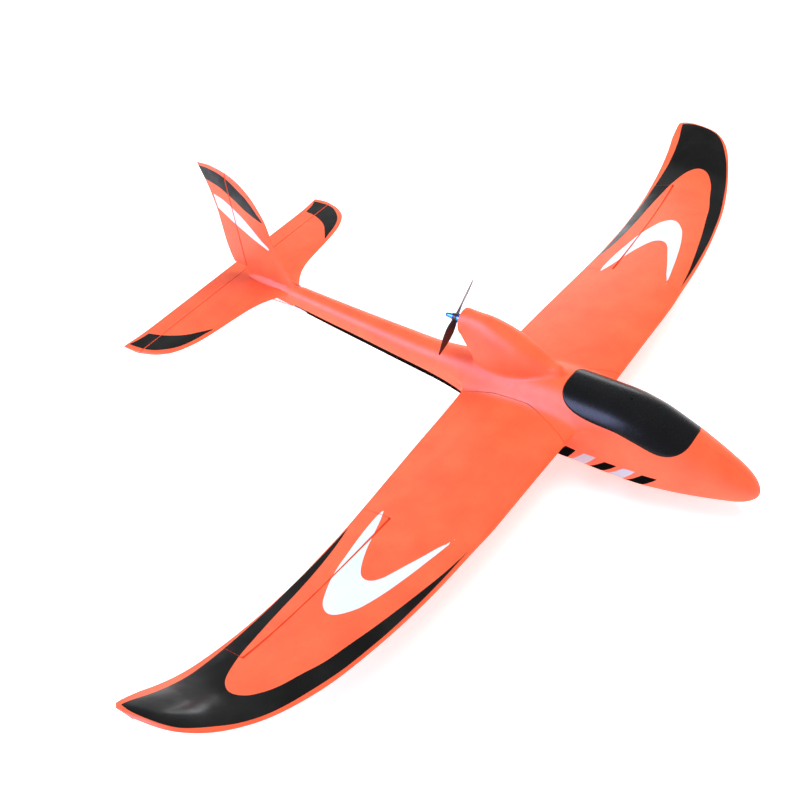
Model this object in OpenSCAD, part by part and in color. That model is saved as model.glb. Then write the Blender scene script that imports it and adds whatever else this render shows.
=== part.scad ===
// Radio controlled powered glider with a pusher motor on a pod behind the canopy.
// Millimetres. +X is the nose, +Y the left wing, +Z up. The origin lies on the flat of the belly,
// under the wing spar.

/* [Wing] */
// Distance from wing tip to wing tip
wing_span = 1400; // [1390:2:1410]
// Thickness of the wing section as a share of its chord
wing_thickness = 0.11; // [0.105:0.005:0.12]
// Height of the wing's chord line above the belly at the root
wing_height = 79.6; // [79:0.2:80.2]
// Outside radius of the carbon spar tube
spar_radius = 4; // [3.5:0.25:4.5]

/* [Controls] */
// Length of the servo arms and horns of the tail surfaces
tail_arm = 14; // [13:0.5:14]
// Length of the servo arms and horns of the ailerons
aileron_arm = 16; // [15:0.5:17]
// Radius of the pushrod wire
wire_radius = 0.75; // [0.7:0.05:0.8]
// Half angle of the bevel on each control surface's front edge
bevel_angle = 21; // [20:1:30]

/* [Propeller] */
// Diameter of the propeller
propeller_diameter = 120; // [110:2:124]
// Angle of the blades to the horizon at rest
blade_rest_angle = 34; // [0:1:90]

/* [Fuselage] */
// Thickness of the foam round the equipment bay
bay_wall = 9; // [8.5:0.25:9.5]
// Gap round the canopy
canopy_gap = 0.4; // [0.35:0.05:0.5]

/* [Hidden] */
$fn = 48;

foam = "#ff6d45";
vinyl_black = "#1a1a1c";
steel = "#b8bcc2";
carbon = "#2a2a2e";
nylon = "#f0f0ee";
anodised_blue = "#2f6fb5";
servo_blue = "#3a5a9a";

half_span = wing_span / 2;
clear = 0.05; // between pieces that are glued or pressed together
far = 400;    // longer than any piece that a cutting solid has to pass

// Fuselage stations from nose to tail: x, height of centre, half width, half height
body_stations = [
  [293, 38, 1.5, 1.5], [291, 38.5, 7, 7], [286, 40, 12.5, 12.6], [275, 42, 19.7, 20],
  [250, 46, 28.2, 29.5], [220, 50, 36.2, 39.2], [180, 55, 44.7, 50.5], [140, 60, 50, 60.5],
  [100, 63, 52, 64.5], [50, 64, 52, 65], [0, 64.5, 51, 65.5], [-60, 67, 46, 57],
  [-110, 70, 38, 46], [-160, 73, 29.5, 35.5], [-210, 75.5, 24.5, 29.5], [-270, 81, 22.5, 26.5],
  [-340, 88, 20, 23.5], [-410, 95.3, 17.9, 21], [-480, 103.5, 15.5, 18], [-535, 110, 14, 16],
  [-570, 112.5, 9, 9.5], [-588, 113.5, 3.5, 4]
];
body_power = 2.4; // how square the fuselage sections are

// Pod stations from rear to front: x, height of centre, half width, half height
pod_stations = [
  [12, 116, 6, 14], [-11, 117, 17, 27], [-27, 118, 22, 35], [-42, 121, 25.5, 40],
  [-59, 126, 27.5, 44], [-81, 132, 28, 46], [-105, 138, 26, 47], [-126, 144, 22.5, 43],
  [-134, 153, 20.5, 34.5], [-142, 161, 19.5, 26.5], [-148, 167.5, 18.8, 19.5], [-150, 168, 17, 17.5]
];
pod_power = 2.2;
motor_axis = 168.5;

// Wing stations: share of the half span, leading edge x, trailing edge x, height over the root
wing_stations = [
  [0.05, 55.8, -134.2, 0], [0.13, 54.2, -130.2, 0], [0.23, 52.8, -127.7, 0],
  [0.37, 51, -122.9, 0], [0.41, 48.7, -121.5, 0], [0.52, 43.2, -118.8, 0.2],
  [0.6, 36.8, -119, 0.8], [0.686, 27, -121.2, 3], [0.757, 16.9, -125.2, 6.4],
  [0.809, 6.5, -129, 11], [0.87, -8.5, -133.2, 20.5], [0.914, -21.7, -135.9, 34],
  [0.95, -36.5, -139.5, 48], [0.975, -54.5, -142.5, 58.5], [0.99, -73, -145.2, 64],
  [0.996, -87, -143.5, 66], [1, -105, -137, 67]
];
wing_incidence = 0.05; // rise of the chord per millimetre forward
wing_camber = 0.03;
incidence_centre = -40;
// Half plan of the seam between wing and fuselage: x, distance from the centre line
root_seam = [
  [72, 90], [58, 82], [46, 76], [30, 68], [14, 61], [-16, 49.5], [-43, 45.4], [-68, 44.4],
  [-92, 44.4], [-113, 45], [-128, 46.5], [-150, 48]
];
seam_gap = 0.15;

// Tailplane stations: y, leading edge x, trailing edge x, thickness
stab_stations = [
  [0, -478.6, -630, 7.4], [14, -485, -630, 7.4], [30, -497, -630, 7.4], [54, -510, -630, 7.2],
  [74, -516, -630, 7], [100, -520.5, -630, 6.8], [141, -526.5, -630, 6.4], [171, -532, -630, 6],
  [197, -541.5, -630.5, 5.6], [213, -551, -631.5, 5.2], [226, -566, -633, 4.8], [234, -582, -634, 4.4],
  [238.5, -600, -634, 3.8]
];
stab_height = 114;
saddle_front = -478;
// Fin and rudder stations: z, leading edge x, trailing edge x, thickness
fin_stations = [
  [117.8, -477, -606, 13], [131, -482, -608, 11], [151, -494, -613, 9.6], [179, -508, -616, 8.8],
  [205, -511, -616.5, 8.2], [230, -515, -617, 7.6], [250, -523, -619.5, 7], [269, -533, -622.5, 6.2],
  [288, -549.5, -627.5, 5.2], [300, -566, -631.5, 4.4], [308, -586, -634, 3.6], [312.5, -606, -635, 2.6]
];

// Hinge lines
aileron_inner = 0.4343 * half_span;
aileron_outer = 0.809 * half_span;
aileron_length = aileron_outer - aileron_inner;
aileron_hinge_start = [-70, aileron_inner, wing_height];
aileron_hinge_end = [-87.5, aileron_outer, wing_height + 8.6];
aileron_hinge_run = aileron_hinge_end - aileron_hinge_start;
aileron_sweep = atan2(-aileron_hinge_run[0], aileron_hinge_run[1]);
aileron_tilt = atan2(aileron_hinge_run[2], norm([aileron_hinge_run[0], aileron_hinge_run[1]]));
aileron_linkage_share = 0.17; // of the way from the inner end
elevator_hinge_x = -597;
elevator_half_length = 240;
rudder_hinge_x = -578;
rudder_foot = 135;
surface_gap = 0.6;

// Servo places: the output axis, where the arm turns
aileron_servo_ahead = 52; // of the hinge line
aileron_servo_z = 1.9;     // above the hinge line
elevator_servo_at = [-85, 4, 85.6];
rudder_servo_at = [-15, -2, 66];
wire_offset = 2.2;       // from an arm's middle to its wire
arm_thickness = 1.6;
pin_hole = 0.8;          // radius of the hole in each servo arm
horn_hole = 1.15;        // radius of the open hole in each horn
elevator_horn_y = -23.2;
rudder_horn_z = 142.8;
rudder_bend = [-400, 4, 102];
guide_wall = 0.6;

// Barrels and leaves of the hinges
barrel_radius = 1.5;
hinge_pin_radius = 0.7;
hinge_bore = 0.76;
hinge_width = 9;
leaf_reach = 10.5;
leaf_thickness = 0.8;
aileron_hinges = [-0.38, 0, 0.38];  // shares of the aileron's length from its middle
elevator_hinges = [-190, -70, 70, 190];
rudder_hinges = [22, 62, 118];      // above the rudder's foot

// --- general shapes -------------------------------------------------------------------------

// Skin over rings of equal length; each ring runs anticlockwise as seen from ahead of the first
module loft(rings) {
  n = len(rings[0]);
  last = len(rings) - 1;
  points = [for (ring = rings) for (p = ring) p];
  front = [[for (j = [n - 1 : -1 : 0]) j]];
  back = [[for (j = [0 : n - 1]) last * n + j]];
  side = [
    for (i = [0 : last - 1], j = [0 : n - 1], half = [0, 1])
      let (k = (j + 1) % n)
      half == 0
        ? [i * n + j, i * n + k, (i + 1) * n + k]
        : [i * n + j, (i + 1) * n + k, (i + 1) * n + j]
  ];
  polyhedron(points = points, faces = concat(front, side, back), convexity = 10);
}

function power_of(v, e) = sign(v) * pow(abs(v), e);
function oval_point(s, t, e) =
  [s[0], s[2] * power_of(cos(t), 2 / e), s[1] + s[3] * power_of(sin(t), 2 / e)];
function oval_ring(s, e, n) = [for (k = [0 : n - 1]) oval_point(s, 360 * k / n, e)];
function half_ring(s, e, n) = [for (k = [0 : n]) oval_point(s, -90 + 180 * k / n, e)];
function inset(s, w) = [s[0], s[1], max(s[2] - w, 0.5), max(s[3] - w, 0.5)];
function between(a, b, x) = a + (b - a) * (x - a[0]) / (b[0] - a[0]);
// Station of the fuselage at any x
function station_at(list, x, i = 0) =
  x >= list[i + 1][0] || i + 2 == len(list) ? between(list[i], list[i + 1], x) : station_at(list, x, i + 1);
function stations_between(list, front, rear) = concat(
  [station_at(list, front)],
  [for (s = list) if (s[0] < front - 0.5 && s[0] > rear + 0.5) s],
  [station_at(list, rear)]
);

module body_solid(w = 0, front = 293, rear = -588) {
  loft([for (s = stations_between(body_stations, front, rear)) oval_ring(inset(s, w), body_power, 36)]);
}
module body_half() {
  loft([for (s = body_stations) half_ring(s, body_power, 18)]);
}

// Wing section, leading edge over the top to the trailing edge and back below
section_steps = 9;
function foil_share(k) = (1 - cos(180 * k / section_steps)) / 2;
function foil_half(u) =
  5 * (0.2969 * sqrt(u) - 0.1260 * u - 0.3516 * pow(u, 2) + 0.2843 * pow(u, 3) - 0.1036 * pow(u, 4));
function foil_rise(u, chord, thick, camber, side) =
  chord * (4 * camber * u * (1 - u)) + side * (chord * thick * foil_half(u) + 0.6 * u);
function foil_points(chord, thick, camber) = concat(
  [for (k = [0 : section_steps]) [foil_share(k) * chord, foil_rise(foil_share(k), chord, thick, camber, 1)]],
  [
    for (k = [section_steps : -1 : 1])
      [foil_share(k) * chord, foil_rise(foil_share(k), chord, thick, camber, -1)]
  ]
);
function wing_ring(s) = [
  for (p = foil_points(s[1] - s[2], wing_thickness, wing_camber))
    let (x = s[1] - p[0])
    [x, s[0] * half_span, wing_height + s[3] + wing_incidence * (x - incidence_centre) + p[1]]
];
module wing_solid() {
  loft([for (s = wing_stations) wing_ring(s)]);
}
module seam_prism(grow = 0) {
  rest = [for (i = [len(root_seam) - 1 : -1 : 0]) [root_seam[i][0], 0]];
  edge = [for (p = root_seam) [p[0], p[1] + grow]];
  translate([0, 0, wing_height - 40]) linear_extrude(80)
    polygon(concat(edge, [rest[0]], [rest[len(rest) - 1]]));
}

module stab_solid() {
  mirrored = [
    for (i = [len(stab_stations) - 1 : -1 : 1]) let (s = stab_stations[i]) [-s[0], s[1], s[2], s[3]]
  ];
  loft([
    for (s = concat(mirrored, stab_stations))
      [for (p = foil_points(s[1] - s[2], s[3] / (s[1] - s[2]), 0)) [s[1] - p[0], s[0], stab_height + p[1]]]
  ]);
}
function fin_ring(s) =
  let (chord = s[1] - s[2], p = foil_points(chord, s[3] / chord, 0), n = len(p))
  [for (i = [0 : n - 1]) [s[1] - p[i][0], -p[i][1], s[0]]];
module fin_solid() {
  loft([for (s = fin_stations) fin_ring(s)]);
}

// Round bar between two points
module bar(p, q, r) {
  d = q - p;
  length = norm(d);
  translate(p) rotate([0, acos(d[2] / length), atan2(d[1], d[0])]) cylinder(r = r, h = length);
}
module block(low, high) {
  translate(low) cube(high - low);
}
module left_and_right() {
  children();
  mirror([0, 1, 0]) children();
}

// --- places of the hinge lines ----------------------------------------------------------------
// In each, +Y runs along the hinge, +X points forward and +Z is the side away from the horn

module at_aileron_hinge() {
  translate(aileron_hinge_start + aileron_hinge_run / 2)
    rotate([aileron_tilt, 0, aileron_sweep]) children();
}
module at_aileron_linkage() {
  translate(aileron_hinge_start + aileron_linkage_share * aileron_hinge_run)
    rotate([aileron_tilt, 0, aileron_sweep]) children();
}
module at_elevator_hinge() {
  translate([elevator_hinge_x, 0, stab_height]) children();
}
module at_rudder_hinge() {
  translate([rudder_hinge_x, 0, rudder_foot]) rotate([90, 0, 0]) children();
}
aileron_hinge_places = [for (s = aileron_hinges) s * aileron_length];

// Everything ahead of a control surface's bevelled front edge
module bevel_cut(low, high) {
  run = 20 * tan(bevel_angle);
  translate([0, high, 0]) rotate([90, 0, 0]) linear_extrude(high - low)
    polygon([[150, -20], [150, 20], [-surface_gap - run, 20], [-surface_gap, 0], [-surface_gap - run, -20]]);
}
// Everything behind the hinge line, cut from the fixed surface
module surface_bay(low, high) {
  block([-80, low, -30], [0.4, high, 30]);
}

module along_hinge(y, r, h) {
  translate([0, y + h / 2, 0]) rotate([90, 0, 0]) cylinder(r = r, h = h);
}
module hinge_pins(places) {
  barrel = (hinge_width - 3.2) / 2;
  for (y = places) {
    along_hinge(y, hinge_pin_radius, hinge_width);
    for (side = [-1, 1]) {
      along_hinge(y + side * (hinge_width - barrel) / 2, barrel_radius, barrel);
      middle = y + side * (hinge_width - barrel) / 2;
      block([0.5, middle - barrel / 2, -leaf_thickness / 2], [2.6, middle + barrel / 2, leaf_thickness / 2]);
    }
    block(
      [2.4, y - hinge_width / 2, -leaf_thickness / 2],
      [leaf_reach, y + hinge_width / 2, leaf_thickness / 2]
    );
  }
}
module hinge_leaves(places) {
  difference() {
    for (y = places) {
      along_hinge(y, barrel_radius, 3);
      block([-2.6, y - 1.5, -leaf_thickness / 2], [-0.5, y + 1.5, leaf_thickness / 2]);
      block(
        [-leaf_reach, y - hinge_width / 2, -leaf_thickness / 2],
        [-2.4, y + hinge_width / 2, leaf_thickness / 2]
      );
    }
    for (y = places) along_hinge(y, hinge_bore, 4);
  }
}
// Room for the barrels and leaves in both surfaces
module hinge_room(places) {
  gap = leaf_thickness / 2 + clear;
  for (y = places) {
    along_hinge(y, barrel_radius + 0.5, hinge_width + 1);
    block(
      [-leaf_reach - clear, y - hinge_width / 2 - clear, -gap],
      [leaf_reach + clear, y + hinge_width / 2 + clear, gap]
    );
  }
}

// --- linkage shapes ---------------------------------------------------------------------------

// Micro servo: the output axis is +Z through the origin, which lies in the arm's middle plane
servo_top = -3.6;
servo_back = -26;
module servo_shape() {
  difference() {
    union() {
      block([-17, -6, servo_back], [6, 6, servo_top - 1]);
      block([-21.5, -6, -11], [10.5, 6, -9]);
      translate([0, 0, servo_top - 1.5]) cylinder(r = 5.8, h = 3.5);
    }
    translate([0, 0, -9]) cylinder(r = 2.5, h = 12);
    for (x = [-19.4, 8.4]) translate([x, 0, -12]) cylinder(r = 1, h = 4);
  }
}
module servo_room() {
  block([-17 - clear, -6 - clear, servo_back - clear], [6 + clear, 6 + clear, 2]);
  block([-21.5 - clear, -6 - clear, -11 - clear], [10.5 + clear, 6 + clear, 2]);
}
// Servo arm with its output shaft, pointing along +X
module arm_shape(reach) {
  difference() {
    union() {
      translate([0, 0, -8.5]) cylinder(r = 2.44, h = 8.5);
      translate([0, 0, -arm_thickness / 2]) cylinder(r = 3.6, h = arm_thickness + 0.8);
      translate([0, 0, -arm_thickness / 2]) linear_extrude(arm_thickness)
        polygon([[0, -3.2], [reach, -1.9], [reach, 1.9], [0, 3.2]]);
      translate([reach, 0, -arm_thickness / 2]) cylinder(r = 1.9, h = arm_thickness);
    }
    translate([reach, 0, -2]) cylinder(r = pin_hole, h = 4);
  }
}
// Control horn in the hinge's own place: a plate across the hinge with a hole at its tip
module horn_plate(reach, y, thick) {
  translate([0, y + thick / 2, 0]) rotate([90, 0, 0]) linear_extrude(thick)
    polygon([
      [-19, -1], [-8, -1], [-4.5, -reach * 0.5], [2.2, -reach + 1.5], [2.2, -reach - 1.5],
      [0, -reach - 2.6], [-2.4, -reach - 2], [-12, -reach * 0.5], [-19, -4]
    ]);
}
module horn_shape(reach, y) {
  difference() {
    horn_plate(reach, y, arm_thickness);
    translate([0, 0, -reach]) along_hinge(y, horn_hole, 6);
  }
}

// --- fuselage ---------------------------------------------------------------------------------

canopy_rear = 20;
canopy_front = 201.5;
canopy_half_width = 44.3;
canopy_shell = 4;
ledge = 8;
bay_front = 208;
bay_rear = -117;

// Canopy outline seen from above: squarer at its rear than at its front
function outline_half(shrink) =
  let (
    mid = (canopy_front + canopy_rear) / 2,
    half = (canopy_front - canopy_rear) / 2 - shrink,
    wide = canopy_half_width - shrink
  )
  [for (t = [-90 : 9 : 90])
    let (e = 2 / (t > 0 ? 3.5 : 4.3))
    [mid + half * power_of(sin(t), e), wide * power_of(cos(t), e)]];
module canopy_prism(shrink) {
  right = outline_half(shrink);
  left = [for (i = [len(right) - 2 : -1 : 1]) [right[i][0], -right[i][1]]];
  translate([0, 0, 60]) linear_extrude(100) polygon(concat(right, left));
}

function line_at(p, q, x) = p + (q - p) * (x - p[0]) / (q[0] - p[0]);
elevator_wire_front = elevator_servo_at + [0, wire_offset, -tail_arm];
elevator_wire_rear = [elevator_hinge_x, elevator_horn_y + wire_offset, stab_height - tail_arm];
rudder_wire_front = rudder_servo_at + [0, tail_arm, wire_offset];
rudder_wire_rear = [rudder_hinge_x, tail_arm, rudder_horn_z + wire_offset];
elevator_tube_radius = 2.6;
rudder_tube_radius = 3.3;
tube_start = -119;
elevator_tube_end = -478;
rudder_tube_end = -392;

module guide(p, q, start, end, r) {
  bar(line_at(p, q, start), line_at(p, q, end), r);
}
module wire_channels() {
  guide(elevator_wire_front, elevator_wire_rear, -100, -500, elevator_tube_radius + clear);
  guide(rudder_wire_front, rudder_bend, -100, -397, rudder_tube_radius + clear);
  guide(rudder_bend, rudder_wire_rear, -394, -500, 3.6);
}
dowel_radius = 2.5;
dowel_x = -88;
dowel_z = wing_height + 1.6;
spar_x = 5;
spar_z = wing_height + 6.6;
spar_half_length = 330;
module cross_bar(x, z, r, length) {
  translate([x, length / 2, z]) rotate([90, 0, 0]) cylinder(r = r, h = length);
}
module motor_lead_passage() {
  bar([-112, 0, motor_axis - 4], [-62, 0, 104], 5);
}

// Solid removed from both fuselage halves
module body_hollows() {
  body_solid(bay_wall, bay_front, bay_rear);
  difference() {
    canopy_prism(-canopy_gap);
    body_solid(canopy_shell + canopy_gap, 250, -20);
  }
  intersection() {
    canopy_prism(ledge);
    body_solid(1, 250, -20);
  }
  wire_channels();
  cross_bar(spar_x, spar_z, spar_radius + clear, far);
  cross_bar(dowel_x, dowel_z, dowel_radius + clear, far);
  motor_lead_passage();
  magnet_discs(bay_magnet_z, clear);
  block([saddle_front - 130, -60, stab_height - 3.9], [saddle_front, 60, 160]);
  block([-700, -100, -60], [400, 100, 0]);
}
module fuselage_half() {
  difference() {
    union() {
      body_half();
      intersection() {
        wing_solid();
        seam_prism();
        block([-160, 36, 40], [90, 100, 130]);
      }
    }
    body_hollows();
  }
}
module fuselage_left() {
  color(foam) fuselage_half();
}
module fuselage_right() {
  color(foam) mirror([0, 1, 0]) difference() {
    fuselage_half();
    mirror([0, 1, 0]) wire_channels();
  }
}

// --- canopy -----------------------------------------------------------------------------------

magnet_radius = 2.5;
magnet_height = 1.5;
rear_magnet_x = canopy_rear + 4.6;
front_magnet_x = canopy_front - 4.6;
// Lower faces of the magnets at the rear and at the front
bay_magnet_z = [122.75, 91.3];
canopy_magnet_z = [125.65, 95.7];

module canopy() {
  color(vinyl_black) difference() {
    intersection() {
      body_solid(0, 250, -20);
      canopy_prism(0);
    }
    body_solid(canopy_shell, 251, -21);
    magnet_discs(canopy_magnet_z, clear);
  }
}
module magnet_discs(heights, grow) {
  height = magnet_height + 2 * grow;
  translate([rear_magnet_x, 0, heights[0] - grow]) cylinder(r = magnet_radius + grow, h = height);
  translate([front_magnet_x, 0, heights[1] - grow]) cylinder(r = magnet_radius + grow, h = height);
}
module canopy_magnets() {
  color(steel) magnet_discs(canopy_magnet_z, 0);
}
module bay_magnets() {
  color(steel) magnet_discs(bay_magnet_z, 0);
}

// --- motor pod --------------------------------------------------------------------------------

bell_radius = 14;
bell_rear = -147.5;
bell_front = -122;
mount_rear = -118.6;
mount_front = -115.6;
shaft_radius = 1.6;

module along_x(x0, x1, r, y = 0, z = motor_axis) {
  translate([min(x0, x1), y, z]) rotate([0, 90, 0]) cylinder(r = r, h = abs(x1 - x0));
}
module motor_pod() {
  color(foam) difference() {
    loft([for (s = pod_stations) oval_ring(s, pod_power, 32)]);
    body_solid(-0.1, 100, -300);
    along_x(-160, mount_front + clear, bell_radius + 1.5);
    on_screw_circle() along_x(mount_front - 1, mount_front + 1.8 + clear, 2.2 + clear);
    motor_lead_passage();
  }
}
screw_circle = 9.5;
module on_screw_circle() {
  for (a = [45 : 90 : 315]) translate([0, screw_circle * cos(a), screw_circle * sin(a)]) children();
}
module motor_mount() {
  color(vinyl_black) difference() {
    along_x(mount_rear, mount_front, bell_radius + 1.45);
    on_screw_circle() along_x(mount_rear - 1, mount_front + 1, 1.25);
    along_x(mount_rear - 1, mount_front + 1, 4);
  }
}
module motor_base() {
  color(steel) difference() {
    union() {
      along_x(bell_front + 0.9, mount_rear - clear, 13);
      along_x(bell_rear + 4, bell_front + 1, 4.2);
    }
    along_x(bell_rear, mount_rear + 1, shaft_radius + 0.05);
    on_screw_circle() along_x(bell_front, mount_rear + 1, 1.25);
  }
}
module motor_screws() {
  color(steel) on_screw_circle() {
    along_x(bell_front + 1.4, mount_front + clear, 1.2);
    along_x(mount_front + clear, mount_front + 1.8, 2.2);
  }
}
module motor_bell() {
  color(steel) {
    difference() {
      along_x(bell_rear, bell_front, bell_radius);
      along_x(bell_rear + 3, bell_front + 1, bell_radius - 1.6);
      for (a = [0 : 60 : 300])
        translate([0, 8.6 * cos(a), 8.6 * sin(a)]) along_x(bell_rear - 1, bell_rear + 4, 2.4);
    }
    along_x(-176, mount_rear - 0.6, shaft_radius);
  }
}

// --- propeller --------------------------------------------------------------------------------

hub_front = -160;
hub_rear = -167;
hub_radius = 6;
blade_steps = 9;
module propeller_adapter() {
  color(anodised_blue) difference() {
    union() {
      translate([hub_front, 0, motor_axis]) rotate([0, 90, 0]) cylinder(r1 = 6.4, r2 = 4.2, h = 8);
      along_x(-176, hub_front, 2.6);
    }
    along_x(-180, -150, shaft_radius + 0.02);
  }
}
module propeller_nut() {
  color(anodised_blue) difference() {
    translate([hub_rear - 2.5, 0, motor_axis]) rotate([0, -90, 0]) {
      translate([0, 0, -2.4]) cylinder(r = 5.4, h = 2.4);
      cylinder(r1 = 4.4, r2 = 2.6, h = 11);
    }
    along_x(-176.1, -160, 2.65);
  }
}
// Blade section at a share of the blade's length: a flat lens, twisted to its pitch
blade_chords = [7.5, 9.5, 12, 13.5, 13.8, 13, 11.2, 8.6, 5.6, 2];
function blade_ring(k) =
  let (
    r = 4 + (propeller_diameter / 2 - 4) * k / blade_steps,
    chord = blade_chords[k],
    pitch = atan2(14, r + 3),
    thick = 3.4 - 2.5 * k / blade_steps
  )
  [for (i = [0 : 9])
    let (
      u = cos(36 * i) * chord / 2,
      v = sin(36 * i) * thick / 2
    )
    [
      (hub_front + hub_rear) / 2 + u * sin(pitch) - v * cos(pitch),
      r,
      motor_axis + u * cos(pitch) + v * sin(pitch)
    ]];
module blade() {
  loft([for (k = [0 : blade_steps]) blade_ring(k)]);
}
module propeller() {
  color(carbon) translate([0, 0, motor_axis]) rotate([blade_rest_angle, 0, 0]) translate([0, 0, -motor_axis])
    difference() {
      union() {
        along_x(hub_rear, hub_front - 0.05, hub_radius);
        for (turn = [0, 180])
          translate([0, 0, motor_axis]) rotate([turn, 0, 0]) translate([0, 0, -motor_axis]) blade();
      }
      along_x(-180, -150, 2.65);
    }
}

// --- wing -------------------------------------------------------------------------------------

servo_pocket_depth = 40;
module aileron_servo_place() {
  at_aileron_linkage() translate([aileron_servo_ahead, 0, aileron_servo_z])
    rotate([-90, 0, 0]) children();
}
module aileron_servo_pocket() {
  aileron_servo_place() {
    servo_room();
    block([-17, -6, servo_back - clear], [6, servo_pocket_depth, -3]);
    block([-21.6, -6, -11 - clear], [10.6, servo_pocket_depth, -3]);
    block([-10.5, -6.1, -3.2], [10.5, servo_pocket_depth, 5]);
  }
}
module wing_panel() {
  difference() {
    wing_solid();
    seam_prism(seam_gap);
    body_solid(-seam_gap, 120, -160);
    at_aileron_hinge() surface_bay(-aileron_length / 2, aileron_length / 2);
    at_aileron_hinge() hinge_room(aileron_hinge_places);
    aileron_servo_pocket();
    cross_bar(spar_x, spar_z, spar_radius + clear, 2 * spar_half_length + 1);
    cross_bar(dowel_x, dowel_z, dowel_radius + clear, 130);
  }
}
module wing_left() {
  color(foam) wing_panel();
}
module wing_right() {
  color(foam) mirror([0, 1, 0]) wing_panel();
}
module aileron() {
  difference() {
    intersection() {
      wing_solid();
      at_aileron_hinge()
        block([-80, -aileron_length / 2 + surface_gap, -30], [4, aileron_length / 2 - surface_gap, 30]);
    }
    at_aileron_hinge() bevel_cut(-aileron_length, aileron_length);
    at_aileron_hinge() hinge_room(aileron_hinge_places);
    at_aileron_linkage() horn_plate(aileron_arm, 0, arm_thickness + 2 * clear);
  }
}
module aileron_left() {
  color(foam) aileron();
}
module aileron_right() {
  color(foam) mirror([0, 1, 0]) aileron();
}
module wing_spar() {
  color(carbon) difference() {
    cross_bar(spar_x, spar_z, spar_radius, 2 * spar_half_length);
    cross_bar(spar_x, spar_z, spar_radius - 1, 2 * spar_half_length + 2);
  }
}
module alignment_dowels() {
  color(carbon) left_and_right()
    translate([dowel_x, 0, dowel_z]) rotate([-90, 0, 0]) translate([0, 0, 36])
      cylinder(r = dowel_radius, h = 28);
}

// --- tail -------------------------------------------------------------------------------------

module stabilizer() {
  color(foam) difference() {
    stab_solid();
    at_elevator_hinge() surface_bay(-300, 300);
    at_elevator_hinge() hinge_room(elevator_hinges);
  }
}
module elevator() {
  color(foam) difference() {
    stab_solid();
    at_elevator_hinge() bevel_cut(-300, 300);
    at_elevator_hinge() hinge_room(elevator_hinges);
    at_elevator_hinge() horn_plate(tail_arm, elevator_horn_y, arm_thickness + 2 * clear);
  }
}
fin_foot = 117.9;
module fin() {
  color(foam) difference() {
    union() {
      difference() {
        fin_solid();
        block([-700, -30, 100], [rudder_hinge_x + 0.4, 30, 330]);
      }
      intersection() {
        body_solid(0, -400, -588);
        block([rudder_hinge_x + 0.4, -30, fin_foot], [saddle_front - 0.1, 30, 140]);
      }
    }
    block([-700, -30, 90], [-400, 30, fin_foot]);
    block([-700, -100, fin_foot - 9], [-400, 100, fin_foot]);
    at_rudder_hinge() hinge_room(rudder_hinges);
    guide(rudder_bend, rudder_wire_rear, -430, -600, 3.6);
  }
}
module rudder() {
  color(foam) difference() {
    intersection() {
      fin_solid();
      block([-700, -30, rudder_foot], [rudder_hinge_x + 2, 30, 330]);
    }
    at_rudder_hinge() bevel_cut(-50, 300);
    at_rudder_hinge() hinge_room(rudder_hinges);
    at_rudder_hinge() horn_plate(tail_arm, rudder_horn_z - rudder_foot, arm_thickness + 2 * clear);
  }
}

// --- equipment --------------------------------------------------------------------------------

tray_low = 16;
tray_high = 18.4;
battery_low = [76, -17, 18.5];
battery_high = [182, 17, 43];
strap_x = 128;
strap_width = 18;
strap_thickness = 1.4;
module strap_band(grow) {
  gap = 0.1;
  difference() {
    block(
      [
        strap_x - strap_width / 2 - grow,
        battery_low[1] - gap - strap_thickness - grow,
        tray_low - gap - strap_thickness
      ],
      [
        strap_x + strap_width / 2 + grow,
        battery_high[1] + gap + strap_thickness + grow,
        battery_high[2] + gap + strap_thickness
      ]
    );
    block(
      [strap_x - strap_width, battery_low[1] - gap + grow, tray_low - gap],
      [strap_x + strap_width, battery_high[1] + gap - grow, battery_high[2] + gap]
    );
  }
}
module battery_tray() {
  color("#c8a26a") difference() {
    intersection() {
      body_solid(bay_wall + clear, bay_front - 8, bay_rear);
      block([8, -60, tray_low], [185, 60, tray_high]);
    }
    strap_band(0.1);
  }
}
module battery() {
  color("#31404f") {
    block(battery_low, battery_high);
    block([battery_low[0] - 3, -8, 22], [battery_low[0], 8, 40]);
  }
}
module battery_strap() {
  color(vinyl_black) strap_band(0);
}
module servo_trays() {
  low = rudder_servo_at[2] - 13.1;
  shelf = elevator_servo_at[2] - 6.1;
  color("#c8a26a") {
    difference() {
      intersection() {
        body_solid(bay_wall + clear, 30, bay_rear);
        block([-42, -60, low], [-1, 60, low + 2]);
      }
      rudder_servo_place() block([-17.2, -6.2, -20], [6.2, 6.2, 2]);
    }
    intersection() {
      body_solid(bay_wall + clear, 30, bay_rear + 1);
      block([-108, -60, shelf - 2], [-72, 0.5, shelf]);
    }
  }
}
module receiver() {
  color("#202a24") {
    block([12, -12, tray_high + 0.1], [50, 12, 31]);
    block([9, -10, 21], [12, 10, 29]);
  }
}
module speed_controller() {
  color("#2b4b8a") block([-72, -13, 25], [-22, 13, 33.5]);
}

// --- servos and linkages ----------------------------------------------------------------------

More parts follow.
